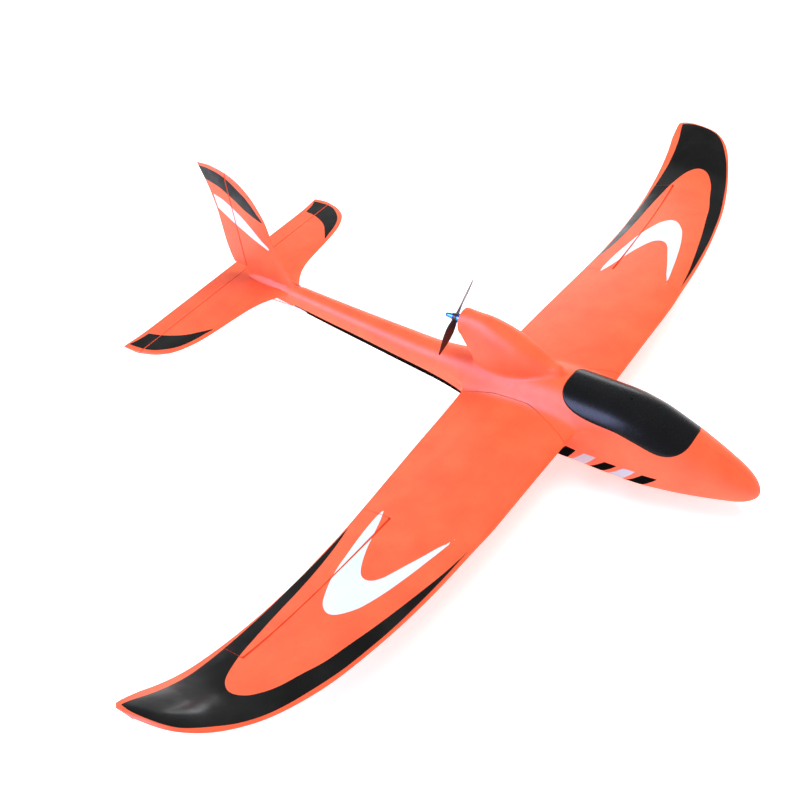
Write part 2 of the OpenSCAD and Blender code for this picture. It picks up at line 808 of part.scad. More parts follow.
module aileron_servo_left() {
  color(servo_blue) aileron_servo_place() servo_shape();
}
module aileron_servo_right() {
  color(servo_blue) mirror([0, 1, 0]) aileron_servo_place() servo_shape();
}
module elevator_servo_place() {
  translate(elevator_servo_at) rotate([-90, 0, 0]) children();
}
module rudder_servo_place() {
  translate(rudder_servo_at) children();
}
module elevator_servo() {
  color(servo_blue) elevator_servo_place() servo_shape();
}
module rudder_servo() {
  color(servo_blue) rudder_servo_place() servo_shape();
}
module aileron_arm_piece() {
  aileron_servo_place() rotate([0, 0, 90]) arm_shape(aileron_arm);
}
module aileron_servo_arm_left() {
  color(nylon) aileron_arm_piece();
}
module aileron_servo_arm_right() {
  color(nylon) mirror([0, 1, 0]) aileron_arm_piece();
}
module elevator_servo_arm() {
  color(nylon) elevator_servo_place() rotate([0, 0, 90]) arm_shape(tail_arm);
}
module rudder_servo_arm() {
  color(nylon) rudder_servo_place() rotate([0, 0, 90]) arm_shape(tail_arm);
}

// Wire with both ends bent into pins that pass back through the arm and the horn
wire_sides = 12;
function unit(v) = v / norm(v);
function start_ring(p, q, r) =
  let (
    d = unit(q - p),
    a = unit(cross(d, abs(d[0]) > 0.9 ? [0, 0, 1] : [1, 0, 0])),
    b = cross(a, d)
  )
  [for (k = [0 : wire_sides - 1]) p + r * (a * cos(360 * k / wire_sides) + b * sin(360 * k / wire_sides))];
// Slides each ring along its stretch of wire to the mitre plane of the next bend
function swept(points, ring, i = 1) =
  i == len(points) ? [] :
  let (
    d = unit(points[i] - points[i - 1]),
    n = i == len(points) - 1 ? d : d + unit(points[i + 1] - points[i]),
    next = [for (p = ring) p + d * ((points[i] - p) * n) / (d * n)]
  )
  concat([next], swept(points, next, i + 1));
module wire(points, pin) {
  back = pin * (wire_offset + 1.6);
  path = concat([points[0] - back], points, [points[len(points) - 1] - back]);
  ring = start_ring(path[0], path[1], wire_radius);
  loft(concat([ring], swept(path, ring)));
}
module aileron_wire() {
  at_aileron_linkage() wire([
    [aileron_servo_ahead, wire_offset, aileron_servo_z - aileron_arm],
    [0, wire_offset, -aileron_arm]
  ], [0, 1, 0]);
}
module aileron_pushrod_left() {
  color(steel) aileron_wire();
}
module aileron_pushrod_right() {
  color(steel) mirror([0, 1, 0]) aileron_wire();
}
module elevator_pushrod() {
  color(steel) wire([elevator_wire_front, elevator_wire_rear], [0, 1, 0]);
}
module rudder_pushrod() {
  color(steel) wire([rudder_wire_front, rudder_bend, rudder_wire_rear], [0, 0, 1]);
}
module elevator_guide_tube() {
  color(nylon) difference() {
    guide(elevator_wire_front, elevator_wire_rear, tube_start, elevator_tube_end, elevator_tube_radius);
    guide(
      elevator_wire_front, elevator_wire_rear, tube_start + 5, elevator_tube_end - 5,
      elevator_tube_radius - guide_wall
    );
  }
}
module rudder_guide_tube() {
  color(nylon) difference() {
    guide(rudder_wire_front, rudder_bend, tube_start, rudder_tube_end, rudder_tube_radius);
    guide(
      rudder_wire_front, rudder_bend, tube_start + 5, rudder_tube_end - 5,
      rudder_tube_radius - guide_wall
    );
  }
}
module aileron_horn_left() {
  color(nylon) at_aileron_linkage() horn_shape(aileron_arm, 0);
}
module aileron_horn_right() {
  color(nylon) mirror([0, 1, 0]) at_aileron_linkage() horn_shape(aileron_arm, 0);
}
module elevator_horn() {
  color(nylon) at_elevator_hinge() horn_shape(tail_arm, elevator_horn_y);
}
module rudder_horn() {
  color(nylon) at_rudder_hinge() horn_shape(tail_arm, rudder_horn_z - rudder_foot);
}
module aileron_hinge_pins_left() {
  color(nylon) at_aileron_hinge() hinge_pins(aileron_hinge_places);
}
module aileron_hinge_pins_right() {
  color(nylon) mirror([0, 1, 0]) at_aileron_hinge() hinge_pins(aileron_hinge_places);
}
module elevator_hinge_pins() {
  color(nylon) at_elevator_hinge() hinge_pins(elevator_hinges);
}
module rudder_hinge_pins() {
  color(nylon) at_rudder_hinge() hinge_pins(rudder_hinges);
}
module aileron_hinge_leaves_left() {
  color(nylon) at_aileron_hinge() hinge_leaves(aileron_hinge_places);
}
module aileron_hinge_leaves_right() {
  color(nylon) mirror([0, 1, 0]) at_aileron_hinge() hinge_leaves(aileron_hinge_places);
}
module elevator_hinge_leaves() {
  color(nylon) at_elevator_hinge() hinge_leaves(elevator_hinges);
}
module rudder_hinge_leaves() {
  color(nylon) at_rudder_hinge() hinge_leaves(rudder_hinges);
}

fuselage_left();
fuselage_right();
canopy();
canopy_magnets();
bay_magnets();
motor_pod();
wing_left();
wing_right();
wing_spar();
alignment_dowels();
aileron_left();
aileron_right();
stabilizer();
elevator();
fin();
rudder();
battery_tray();
battery();
battery_strap();
servo_trays();
receiver();
speed_controller();
motor_mount();
motor_base();
motor_screws();
motor_bell();
propeller_adapter();
propeller();
propeller_nut();
aileron_servo_left();
aileron_servo_right();
elevator_servo();
rudder_servo();
aileron_servo_arm_left();
aileron_servo_arm_right();
elevator_servo_arm();
rudder_servo_arm();
aileron_pushrod_left();
aileron_pushrod_right();
elevator_pushrod();
rudder_pushrod();
elevator_guide_tube();
rudder_guide_tube();
aileron_horn_left();
aileron_horn_right();
elevator_horn();
rudder_horn();
aileron_hinge_pins_left();
aileron_hinge_pins_right();
elevator_hinge_pins();
rudder_hinge_pins();
aileron_hinge_leaves_left();
aileron_hinge_leaves_right();
elevator_hinge_leaves();
rudder_hinge_leaves();
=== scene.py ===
import math

import bpy
import numpy as np
from mathutils import Matrix


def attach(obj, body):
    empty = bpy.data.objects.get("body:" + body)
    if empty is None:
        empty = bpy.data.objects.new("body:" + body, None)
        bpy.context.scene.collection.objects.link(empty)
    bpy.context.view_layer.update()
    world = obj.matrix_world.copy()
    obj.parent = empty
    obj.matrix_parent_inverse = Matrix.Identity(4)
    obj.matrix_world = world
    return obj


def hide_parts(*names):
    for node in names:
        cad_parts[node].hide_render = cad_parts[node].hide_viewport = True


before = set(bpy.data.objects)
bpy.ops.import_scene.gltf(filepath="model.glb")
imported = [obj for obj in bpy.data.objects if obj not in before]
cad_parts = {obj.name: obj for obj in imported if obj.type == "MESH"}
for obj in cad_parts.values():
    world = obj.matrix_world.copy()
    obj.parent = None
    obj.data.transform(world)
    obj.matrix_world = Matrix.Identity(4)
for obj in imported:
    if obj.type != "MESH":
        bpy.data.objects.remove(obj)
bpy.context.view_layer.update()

# Lengths in the shape functions are millimetres; meshes are written in metres.
MM = 0.001

# --- smooth curves through the stations ---


def pchip(xs, ys, x):
    """Monotone cubic through the stations, straight beyond both ends."""
    xs, ys = np.asarray(xs, float), np.asarray(ys, float)
    h = np.diff(xs)
    d = np.diff(ys) / h
    m = np.empty(len(xs))
    m[0], m[-1] = d[0], d[-1]
    for i in range(1, len(xs) - 1):
        if d[i - 1] * d[i] <= 0:
            m[i] = 0
        else:
            w1, w2 = 2 * h[i] + h[i - 1], h[i] + 2 * h[i - 1]
            m[i] = (w1 + w2) / (w1 / d[i - 1] + w2 / d[i])
    i = np.clip(np.searchsorted(xs, x) - 1, 0, len(xs) - 2)
    t = (x - xs[i]) / h[i]
    c = np.clip(t, 0, 1)
    v = (1 + 2 * c) * (1 - c) ** 2 * ys[i] + c * (1 - c) ** 2 * h[i] * m[i]
    v = v + c**2 * (3 - 2 * c) * ys[i + 1] + c**2 * (c - 1) * h[i] * m[i + 1]
    return v + np.where(t < 0, t * h[i] * m[0], 0) + np.where(t > 1, (t - 1) * h[i] * m[-1], 0)


def curve(xs, ys, blur, reach=60, step=0.5):
    """A smooth function of position: the stations' curve, blurred over a length."""
    t = np.arange(xs[0] - reach, xs[-1] + reach, step)
    v = pchip(xs, ys, t)
    n = int(3 * blur / step)
    k = np.exp(-0.5 * (np.arange(-n, n + 1) * step / blur) ** 2)
    pad = np.concatenate([2 * v[0] - v[n:0:-1], v, 2 * v[-1] - v[-2 : -n - 2 : -1]])
    v = np.convolve(pad, k / k.sum(), "valid")
    return lambda x: np.interp(x, t, v)


# Fuselage: x, height of centre, half width, half height
BODY = [
    (293.2, 38, 0, 0), (291, 38.5, 7, 7), (286, 40, 12.5, 12.6), (275, 42, 19.7, 20), (250, 46, 28.2, 29.5),
    (220, 50, 36.2, 39.2), (180, 55, 44.7, 50.5), (140, 60, 50, 60.5), (100, 63, 52, 64.5), (50, 64, 52, 65),
    (0, 64.5, 51, 65.5), (-60, 67, 46, 57), (-110, 70, 38, 46), (-160, 73, 29.5, 35.5),
    (-210, 75.5, 24.5, 29.5), (-270, 81, 22.5, 26.5), (-340, 88, 20, 23.5), (-410, 95.3, 17.9, 21),
    (-480, 103.5, 15.5, 18), (-535, 110, 14, 16), (-570, 112.5, 9, 9.5), (-589, 113.5, 0, 0),
]
# Motor pod, the same way
POD = [
    (14, 115.5, 0, 0), (12, 116, 6, 14), (-11, 117, 17, 27), (-27, 118, 22, 35), (-42, 121, 25.5, 40),
    (-59, 126, 27.5, 44), (-81, 132, 28, 46), (-105, 138, 26, 47), (-126, 144, 22.5, 43),
    (-134, 153, 20.5, 34.5), (-142, 161, 19.5, 26.5), (-148, 167.5, 18.8, 19.5), (-156, 168.5, 15, 15),
]
# Wing: share of the half span, leading edge x, trailing edge x, rise
WING = [
    (0.05, 55.8, -134.2, 0), (0.13, 54.2, -130.2, 0), (0.23, 52.8, -127.7, 0), (0.37, 51, -122.9, 0),
    (0.41, 48.7, -121.5, 0), (0.52, 43.2, -118.8, 0.2), (0.6, 36.8, -119, 0.8), (0.686, 27, -121.2, 3),
    (0.757, 16.9, -125.2, 6.4), (0.809, 6.5, -129, 11), (0.87, -8.5, -133.2, 20.5), (0.914, -21.7, -135.9, 34),
    (0.95, -36.5, -139.5, 48), (0.975, -54.5, -142.5, 58.5), (0.99, -73, -145.2, 64), (0.996, -87, -143.5, 66),
    (1, -105, -137, 67),
]
HALF_SPAN = 700
WING_HEIGHT, INCIDENCE, INCIDENCE_X, CAMBER, WING_THICKNESS = 79.6, 0.05, -40, 0.12, 0.11
TIP_THIN_FROM, TIP_THINNING = 655, 0.45
TRAILING_HALF = 0.6  # half thickness of the trailing edges
# Tailplane: y, leading edge x, trailing edge x, thickness
STAB = [
    (0, -478.6, -630, 7.4), (14, -485, -630, 7.4), (30, -497, -630, 7.4), (54, -510, -630, 7.2),
    (74, -516, -630, 7), (100, -520.5, -630, 6.8), (141, -526.5, -630, 6.4), (171, -532, -630, 6),
    (197, -541.5, -630.5, 5.6), (213, -551, -631.5, 5.2), (226, -566, -633, 4.8), (234, -582, -634, 4.4),
    (238.5, -600, -634, 3.8),
]
STAB_HEIGHT = 114
# Fin and rudder: z, leading edge x, trailing edge x, thickness
FIN = [
    (117.8, -477, -606, 13), (131, -482, -608, 11), (151, -494, -613, 9.6), (179, -508, -616, 8.8),
    (205, -511, -616.5, 8.2), (230, -515, -617, 7.6), (250, -523, -619.5, 7), (269, -533, -622.5, 6.2),
    (288, -549.5, -627.5, 5.2), (300, -566, -631.5, 4.4), (308, -586, -634, 3.6), (312.5, -606, -635, 2.6),
]


def tube_curves(rows, blur):
    r = sorted(rows)
    x = [s[0] for s in r]
    ratio = [s[2] / s[3] if s[3] else 0 for s in r]
    ratio[0] = ratio[0] or ratio[1]
    ratio[-1] = ratio[-1] or ratio[-2]
    centre = curve(x, [s[1] for s in r], blur)
    square = curve(x, [s[2] ** 2 for s in r], blur)
    return centre, square, curve(x, ratio, blur)


body_z, body_q, body_r = tube_curves(BODY, 6)
pod_z, pod_q, pod_r = tube_curves(POD, 2.5)
BODY_POWER, POD_POWER = 2.4, 2.2


def tube_phi(x, y, z, curves, p):
    centre, square, ratio = curves
    return (np.abs(y) ** p + np.abs(ratio(x) * (z - centre(x))) ** p) ** (2 / p) - square(x)


def body_phi(x, y, z):
    return tube_phi(x, y, z, (body_z, body_q, body_r), BODY_POWER)


def pod_phi(x, y, z):
    return tube_phi(x, y, z, (pod_z, pod_q, pod_r), POD_POWER)


def body_top(x, y, inset=0.0):
    """Height of the fuselage's upper surface, or of the surface an inset below it."""
    half_w = np.sqrt(np.maximum(body_q(x), 0.01))
    half_h = half_w / body_r(x) - inset
    share = np.clip(np.abs(y) / np.maximum(half_w - inset, 1), 0, 0.999)
    return body_z(x) + half_h * (1 - share**BODY_POWER) ** (1 / BODY_POWER)


span_at = [w[0] * HALF_SPAN for w in WING]
wing_le = curve(span_at, [w[1] for w in WING], 5)
wing_te = curve(span_at, [w[2] for w in WING], 5)
wing_rise = curve(span_at, [w[3] for w in WING], 8)


FOIL_NOSE = 0.2969
NUDGE = 0.05  # step over which slopes are taken


def foil(u):
    """Half thickness along the chord of a section whose thickness is 1."""
    return 5 * (FOIL_NOSE * np.sqrt(u) - 0.1260 * u - 0.3516 * u**2 + 0.2843 * u**3 - 0.1036 * u**4)


def wing_parts(x, y):
    """The wing's chord, the height of its middle and its half thickness."""
    y = np.abs(y)
    chord = wing_le(y) - wing_te(y)
    u = np.clip((wing_le(y) - x) / chord, 0, 1)
    mid = WING_HEIGHT + wing_rise(y) + INCIDENCE * (x - INCIDENCE_X) + chord * CAMBER * u * (1 - u)
    thin = 1 - TIP_THINNING * np.clip((y - TIP_THIN_FROM) / (HALF_SPAN - TIP_THIN_FROM), 0, 1) ** 2
    return chord, mid, (chord * WING_THICKNESS * foil(u) + TRAILING_HALF * u) * thin


def wing_faces(x, y, side):
    """Height of the wing's upper face for side 1, of its lower one for side -1."""
    _, mid, half = wing_parts(x, y)
    return mid + side * half


def wing_phi(x, y, z):
    chord, mid, half = wing_parts(x, y)
    ahead = wing_le(np.abs(y)) - x
    nose_round = (WING_THICKNESS * 5 * FOIL_NOSE) ** 2
    square = np.where(ahead < 0, chord * nose_round * ahead, half**2)
    square = np.where(ahead > chord, half**2 - 4 * (ahead - chord), square)
    return (z - mid) ** 2 - square


def distance(phi, p):
    """About the distance to the surface phi = 0."""
    x, y, z = p
    e = NUDGE
    gx = phi(x + e, y, z) - phi(x - e, y, z)
    gy = phi(x, y + e, z) - phi(x, y - e, z)
    gz = phi(x, y, z + e) - phi(x, y, z - e)
    return phi(x, y, z) / np.maximum(np.sqrt(gx**2 + gy**2 + gz**2) / (2 * e), 0.3)


def soft_min(a, b, k):
    """The smaller value, with the corner between the two rounded over a width k."""
    h = np.maximum(k - np.abs(a - b), 0) / k
    return np.minimum(a, b) - h * h * k / 4


WING_FILLET, POD_FILLET, BELLY_FILLET = 15.0, 4.5, 3.0


def hull_join(body, pod, wing, z):
    hull = soft_min(soft_min(body, pod, POD_FILLET), wing, WING_FILLET)
    return -soft_min(-hull, z, BELLY_FILLET)


def hull(p):
    return hull_join(distance(body_phi, p), distance(pod_phi, p), distance(wing_phi, p), p[2])


# --- mesh tools: arrays of points (n, 3) and triangles (m, 3) ---


def quads_to_tris(q):
    return np.concatenate([q[:, [0, 1, 2]], q[:, [0, 2, 3]]])


def grid_tris(rows, cols, wrap=False, flip=False):
    i, j = np.meshgrid(np.arange(rows - 1), np.arange(cols if wrap else cols - 1), indexing="ij")
    k = (j + 1) % cols
    q = np.stack([i * cols + j, i * cols + k, (i + 1) * cols + k, (i + 1) * cols + j], -1).reshape(-1, 4)
    return quads_to_tris(q[:, ::-1] if flip else q)


def compact(v, f):
    used, new = np.unique(f, return_inverse=True)
    return v[used], new.reshape(f.shape)


def clip(mesh, keep):
    """The part of a mesh where keep(points) is negative, cut cleanly along keep = 0."""
    v, f = mesh
    g = keep(v)
    g = np.where(np.abs(g) < 1e-4, 1e-4, g)
    inside = (g < 0)[f]
    count = inside.sum(1)
    parts = [f[count == 3]]
    verts = [v]
    total = len(v)
    for n, odd in ((1, True), (2, False)):
        t = f[count == n]
        if not len(t):
            continue
        first = np.argmax(inside[count == n] == odd, axis=1)
        rows = np.arange(len(t))
        a, b, c = t[rows, first], t[rows, (first + 1) % 3], t[rows, (first + 2) % 3]
        ends = []
        for other in (b, c):
            key = np.stack([np.minimum(a, other), np.maximum(a, other)], 1)
            pairs, back = np.unique(key, axis=0, return_inverse=True)
            w = (g[pairs[:, 0]] / (g[pairs[:, 0]] - g[pairs[:, 1]]))[:, None]
            verts.append(v[pairs[:, 0]] * (1 - w) + v[pairs[:, 1]] * w)
            ends.append(total + back.reshape(-1))
            total += len(pairs)
        if odd:
            parts.append(np.stack([a, ends[0], ends[1]], 1))
        else:
            parts.append(np.stack([ends[0], b, c], 1))
            parts.append(np.stack([ends[0], c, ends[1]], 1))
    return weld(*compact(np.concatenate(verts), np.concatenate(parts)))


def weld(v, f, grain=1e-4):
    """Joins points that lie in one place."""
    key = np.round(v / grain).astype(np.int64)
    _, first, back = np.unique(key, axis=0, return_index=True, return_inverse=True)
    f = back.reshape(-1)[f]
    good = (f[:, 0] != f[:, 1]) & (f[:, 1] != f[:, 2]) & (f[:, 2] != f[:, 0])
    return compact(v[first], f[good])


def join(*meshes):
    start, vs, fs = 0, [], []
    for v, f in meshes:
        vs.append(v)
        fs.append(f + start)
        start += len(v)
    return np.concatenate(vs), np.concatenate(fs)


def mirrored(mesh):
    return mesh[0] * [1, -1, 1], mesh[1][:, ::-1]


def normals(mesh):
    v, f = mesh
    n = np.cross(v[f[:, 1]] - v[f[:, 0]], v[f[:, 2]] - v[f[:, 0]])
    out = np.zeros_like(v)
    for k in range(3):
        np.add.at(out, f[:, k], n)
    return out / np.maximum(np.linalg.norm(out, axis=1, keepdims=True), 1e-12)


def rim_edges(f):
    e = np.concatenate([f[:, [0, 1]], f[:, [1, 2]], f[:, [2, 0]]])
    key = np.sort(e, axis=1)
    _, back, count = np.unique(key, axis=0, return_inverse=True, return_counts=True)
    return e[count[back.reshape(-1)] == 1]


def with_lip(mesh, depth, where=None):
    """Turns the open rim of a skin inward, so that a seam or an edge shows its thickness."""
    v, f = mesh
    n = normals(mesh)
    e = rim_edges(f)
    if where is not None:
        e = e[where(v[e].mean(1))]
    ids = np.unique(e)
    new = {int(a): len(v) + k for k, a in enumerate(ids)}
    low = np.array([[new[int(a)], new[int(b)]] for a, b in e])
    q = np.stack([e[:, 1], e[:, 0], low[:, 0], low[:, 1]], 1)
    return np.concatenate([v, v[ids] - n[ids] * depth]), np.concatenate([f, quads_to_tris(q)])


def strip(*lines, flip=False):
    """Skin over several lines of points of one length."""
    v = np.concatenate([np.asarray(line, float) for line in lines])
    return v, grid_tris(len(lines), len(lines[0]), flip=flip)


# --- materials ---


LOOKS = {}


class Nodes:
    """A procedural material, kept in LOOKS by its name."""

    def __init__(self, name, **values):
        self.material = bpy.data.materials.new(name)
        LOOKS[name] = self.material
        self.material.use_nodes = True
        self.tree = self.material.node_tree
        self.shader = self.tree.nodes["Principled BSDF"]
        for key, value in values.items():
            self.shader.inputs[key.replace("_", " ")].default_value = value
        self.place = self.tree.nodes.new("ShaderNodeTexCoord").outputs["Object"]

    def node(self, kind, links=None, **values):
        n = self.tree.nodes.new(kind)
        for key, value in values.items():
            if key in n.inputs.keys():
                n.inputs[key].default_value = value
            else:
                setattr(n, key, value)
        for key, source in (links or {}).items():
            self.tree.links.new(source, n.inputs[key])
        return n

    def stretched(self, scale):
        return self.node("ShaderNodeMapping", {"Vector": self.place}, Scale=scale).outputs["Vector"]

    def noise(self, scale, detail=2.0, rough=0.5, vector=None):
        links = {"Vector": vector or self.place}
        n = self.node("ShaderNodeTexNoise", links, Scale=scale, Detail=detail, Roughness=rough)
        return n.outputs["Fac"]

    def bead_edges(self, scale):
        links = {"Vector": self.place}
        n = self.node("ShaderNodeTexVoronoi", links, feature="DISTANCE_TO_EDGE", Scale=scale)
        return n.outputs["Distance"]

    def spread(self, source, low, high, frm=0.0, to=1.0):
        n = self.node("ShaderNodeMapRange", {"Value": source})
        for key, value in (("From Min", frm), ("From Max", to), ("To Min", low), ("To Max", high)):
            n.inputs[key].default_value = value
        return n.outputs["Result"]

    def tint(self, source, *stops):
        n = self.node("ShaderNodeValToRGB", {"Fac": source})
        for stop, (at, colour) in zip(n.color_ramp.elements, stops):
            stop.position = at
            stop.color = (*colour, 1)
        return n.outputs["Color"]

    def set(self, **sources):
        for key, source in sources.items():
            self.tree.links.new(source, self.shader.inputs[key.replace("_", " ")])

    def bump(self, layers):
        """Layers of (height, strength, distance in metres)."""
        last = None
        for height, strength, far in layers:
            links = {"Height": height}
            if last:
                links["Normal"] = last
            last = self.node("ShaderNodeBump", links, Strength=strength, Distance=far).outputs["Normal"]
        self.tree.links.new(last, self.shader.inputs["Normal"])


BEADS = 330  # foam beads in a metre
MIX_A, MIX_B, MIX_RESULT = 6, 7, 2  # the colour sockets of a mix node


def foam_material(name, colour, deep):
    """Moulded bead foam: tight polygon beads with fine lines between them, and a satin skin."""
    m = Nodes(name, Specular_IOR_Level=0.55)
    lines = m.spread(m.bead_edges(BEADS), 0.0, 1.0, 0.0, 0.09)
    fine_lines = m.spread(m.bead_edges(620), 0.0, 1.0, 0.0, 0.06)
    patch = m.tint(m.noise(26, 3), (0.3, deep), (0.7, colour))
    bead = m.node("ShaderNodeTexVoronoi", {"Vector": m.place}, Scale=BEADS).outputs["Color"]
    tone = m.spread(m.node("ShaderNodeRGBToBW", {"Color": bead}).outputs["Val"], 0.97, 1.03)
    shade = m.node("ShaderNodeMix", {"Factor": m.spread(lines, 0.16, 0.0)}, data_type="RGBA")
    m.tree.links.new(patch, shade.inputs[MIX_A])
    shade.inputs[MIX_B].default_value = (deep[0] * 0.8, deep[1] * 0.6, deep[2] * 0.6, 1)
    scaled = m.node("ShaderNodeVectorMath", {"Scale": tone}, operation="SCALE")
    m.tree.links.new(shade.outputs[MIX_RESULT], scaled.inputs[0])
    m.set(Base_Color=scaled.outputs["Vector"], Roughness=m.spread(m.noise(140, 4), 0.42, 0.58))
    m.bump([(lines, 0.22, 0.00012), (fine_lines, 0.1, 0.00006), (m.noise(60, 3), 0.12, 0.0004)])


def film_material(name, colour, light, rough, gloss, coat):
    """Self-adhesive film laid on foam, with the beads just telling through."""
    m = Nodes(name, Coat_Roughness=0.1, Specular_IOR_Level=gloss)
    if coat:
        m.set(Coat_Weight=m.spread(m.noise(11, 4, 0.6), 0.0, coat, 0.46, 0.62))
    m.set(Base_Color=m.tint(m.noise(18, 2), (0.3, colour), (0.7, light)))
    m.set(Roughness=m.spread(m.noise(70, 4), rough * 0.7, rough * 1.5))
    beads = m.spread(m.bead_edges(BEADS), 0, 1, 0, 0.12)
    m.bump([(beads, 0.07, 0.0001), (m.noise(34, 2), 0.3, 0.0012)])


def satin_material(name, colour, rough=0.42, light=None, grain=900, depth=0.25, **values):
    """Moulded plastic: fine spark-eroded grain, faint flow marks and slightly uneven gloss."""
    m = Nodes(name, **values)
    light = light or tuple(min(1, c * 1.25 + 0.004) for c in colour)
    m.set(Base_Color=m.tint(m.noise(30, 4), (0.3, colour), (0.75, light)))
    m.set(Roughness=m.spread(m.noise(210, 5), rough * 0.82, rough * 1.2))
    m.bump([(m.noise(grain, 3), depth, 0.00006), (m.noise(40, 2), 0.08, 0.0004)])


def metal_material(name, colour, rough=0.28, along=(1, 1, 30), **values):
    """Drawn or turned metal: streaks along one direction, with worn brighter spots."""
    m = Nodes(name, Metallic=1.0, **values)
    streak = m.noise(160, 4, vector=m.stretched(along))
    bright = tuple(min(1, c * 1.2 + 0.03) for c in colour)
    m.set(Base_Color=m.tint(m.noise(50, 5), (0.35, colour), (0.75, bright)))
    m.set(Roughness=m.spread(streak, rough * 0.7, rough * 1.4))
    m.bump([(streak, 0.12, 0.00005)])


def carbon_material(name):
    """Woven carbon under a clear coat."""
    m = Nodes(name, Coat_Weight=0.7, Coat_Roughness=0.08, Roughness=0.38)
    weave = m.node("ShaderNodeTexChecker", {"Vector": m.place}, Scale=500.0).outputs["Fac"]
    m.set(Base_Color=m.tint(weave, (0.2, (0.012, 0.012, 0.013)), (0.8, (0.03, 0.03, 0.033))))
    m.bump([(weave, 0.3, 0.0001), (m.noise(300, 3), 0.1, 0.0001)])


def wood_material(name):
    m = Nodes(name, Roughness=0.62)
    grain = m.noise(90, 6, 0.62, vector=m.stretched((1, 9, 6)))
    m.set(Base_Color=m.tint(grain, (0.3, (0.42, 0.25, 0.11)), (0.7, (0.62, 0.42, 0.22))))
    m.bump([(grain, 0.35, 0.0002)])


def webbing_material(name):
    m = Nodes(name, Roughness=0.85, Sheen_Weight=0.3)
    wave = m.node("ShaderNodeTexWave", {"Vector": m.place}, Scale=420.0, Distortion=0.6).outputs["Fac"]
    m.set(Base_Color=m.tint(wave, (0.2, (0.012, 0.012, 0.013)), (0.8, (0.035, 0.035, 0.038))))
    m.bump([(wave, 0.5, 0.0002), (m.noise(900, 3), 0.2, 0.0001)])


foam_material("foam", (1.0, 0.138, 0.042), (0.93, 0.108, 0.030))
film_material("film_black", (0.004, 0.004, 0.004), (0.007, 0.007, 0.0065), 0.16, 0.2, 0.45)
# Film for the fuselage's sides: a matte black, and a white painted darker and lilac-blue as painted shade, for the
# bluish shade that falls on the sides.
film_material("film_matte_and_shaded_black", (0.003, 0.003, 0.003), (0.005, 0.005, 0.005), 0.3, 0.0, 0.0)
film_material("film_matte_and_shaded_white", (0.50, 0.52, 0.66), (0.55, 0.57, 0.70), 0.3, 0.1, 0.1)
film_material("film_white", (0.70, 0.80, 0.88), (0.78, 0.86, 0.92), 0.22, 0.22, 0.4)
satin_material("canopy", (0.0025, 0.0025, 0.003), 0.27, (0.005, 0.005, 0.006), 700, 0.02,
               Specular_IOR_Level=0.24)
satin_material("black_nylon", (0.022, 0.018, 0.018), 0.38)
satin_material("prop", (0.030, 0.012, 0.011), 0.30, (0.05, 0.016, 0.014), 500, 0.1)
satin_material("white_nylon", (0.80, 0.80, 0.77), 0.42, (0.86, 0.86, 0.84), Subsurface_Weight=0.05)
satin_material("servo", (0.020, 0.075, 0.30), 0.2, (0.03, 0.10, 0.36), 400, 0.08, Coat_Weight=0.4)
satin_material("battery", (0.03, 0.05, 0.08), 0.28, (0.045, 0.07, 0.11), 60, 0.4, Coat_Weight=0.3)
satin_material("wrap", (0.02, 0.05, 0.22), 0.25, (0.03, 0.08, 0.3), 80, 0.5, Coat_Weight=0.4)
satin_material("case", (0.02, 0.025, 0.022), 0.45)
metal_material("steel", (0.55, 0.56, 0.58), 0.26)
metal_material("bell", (0.42, 0.43, 0.45), 0.24, (30, 1, 1))
metal_material("blue", (0.035, 0.22, 0.62), 0.2, (40, 1, 1), Coat_Weight=0.2)
carbon_material("carbon")
wood_material("plywood")
webbing_material("webbing")

# --- pieces ---


def placed(name, data):
    obj = bpy.data.objects.new(name, data)
    bpy.context.scene.collection.objects.link(obj)
    return obj


def piece(name, mesh, look, body, replaces=(), sharp=35):
    v, f = mesh
    data = bpy.data.meshes.new(name)
    data.from_pydata((v * MM).tolist(), [], f.tolist())
    data.validate()
    data.materials.append(LOOKS[look])
    obj = placed(name, data)
    data.shade_smooth()
    data.set_sharp_from_angle(angle=math.radians(sharp))
    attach(obj, body)
    if replaces:
        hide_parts(*replaces)


def foam_piece(node, mesh, body="airframe"):
    """The smooth skin that is shown in place of a foam node."""
    piece(f"foam_{node}", mesh, "foam", body, [node])


def film_piece(name, mesh, tone, body="airframe", look="film"):
    piece(f"film_{name}", mesh, f"{look}_{tone}", body)


SIDES = (("left", lambda mesh: mesh), ("right", mirrored))

# --- fuselage and pod skin: a smooth net over the joined shapes ---


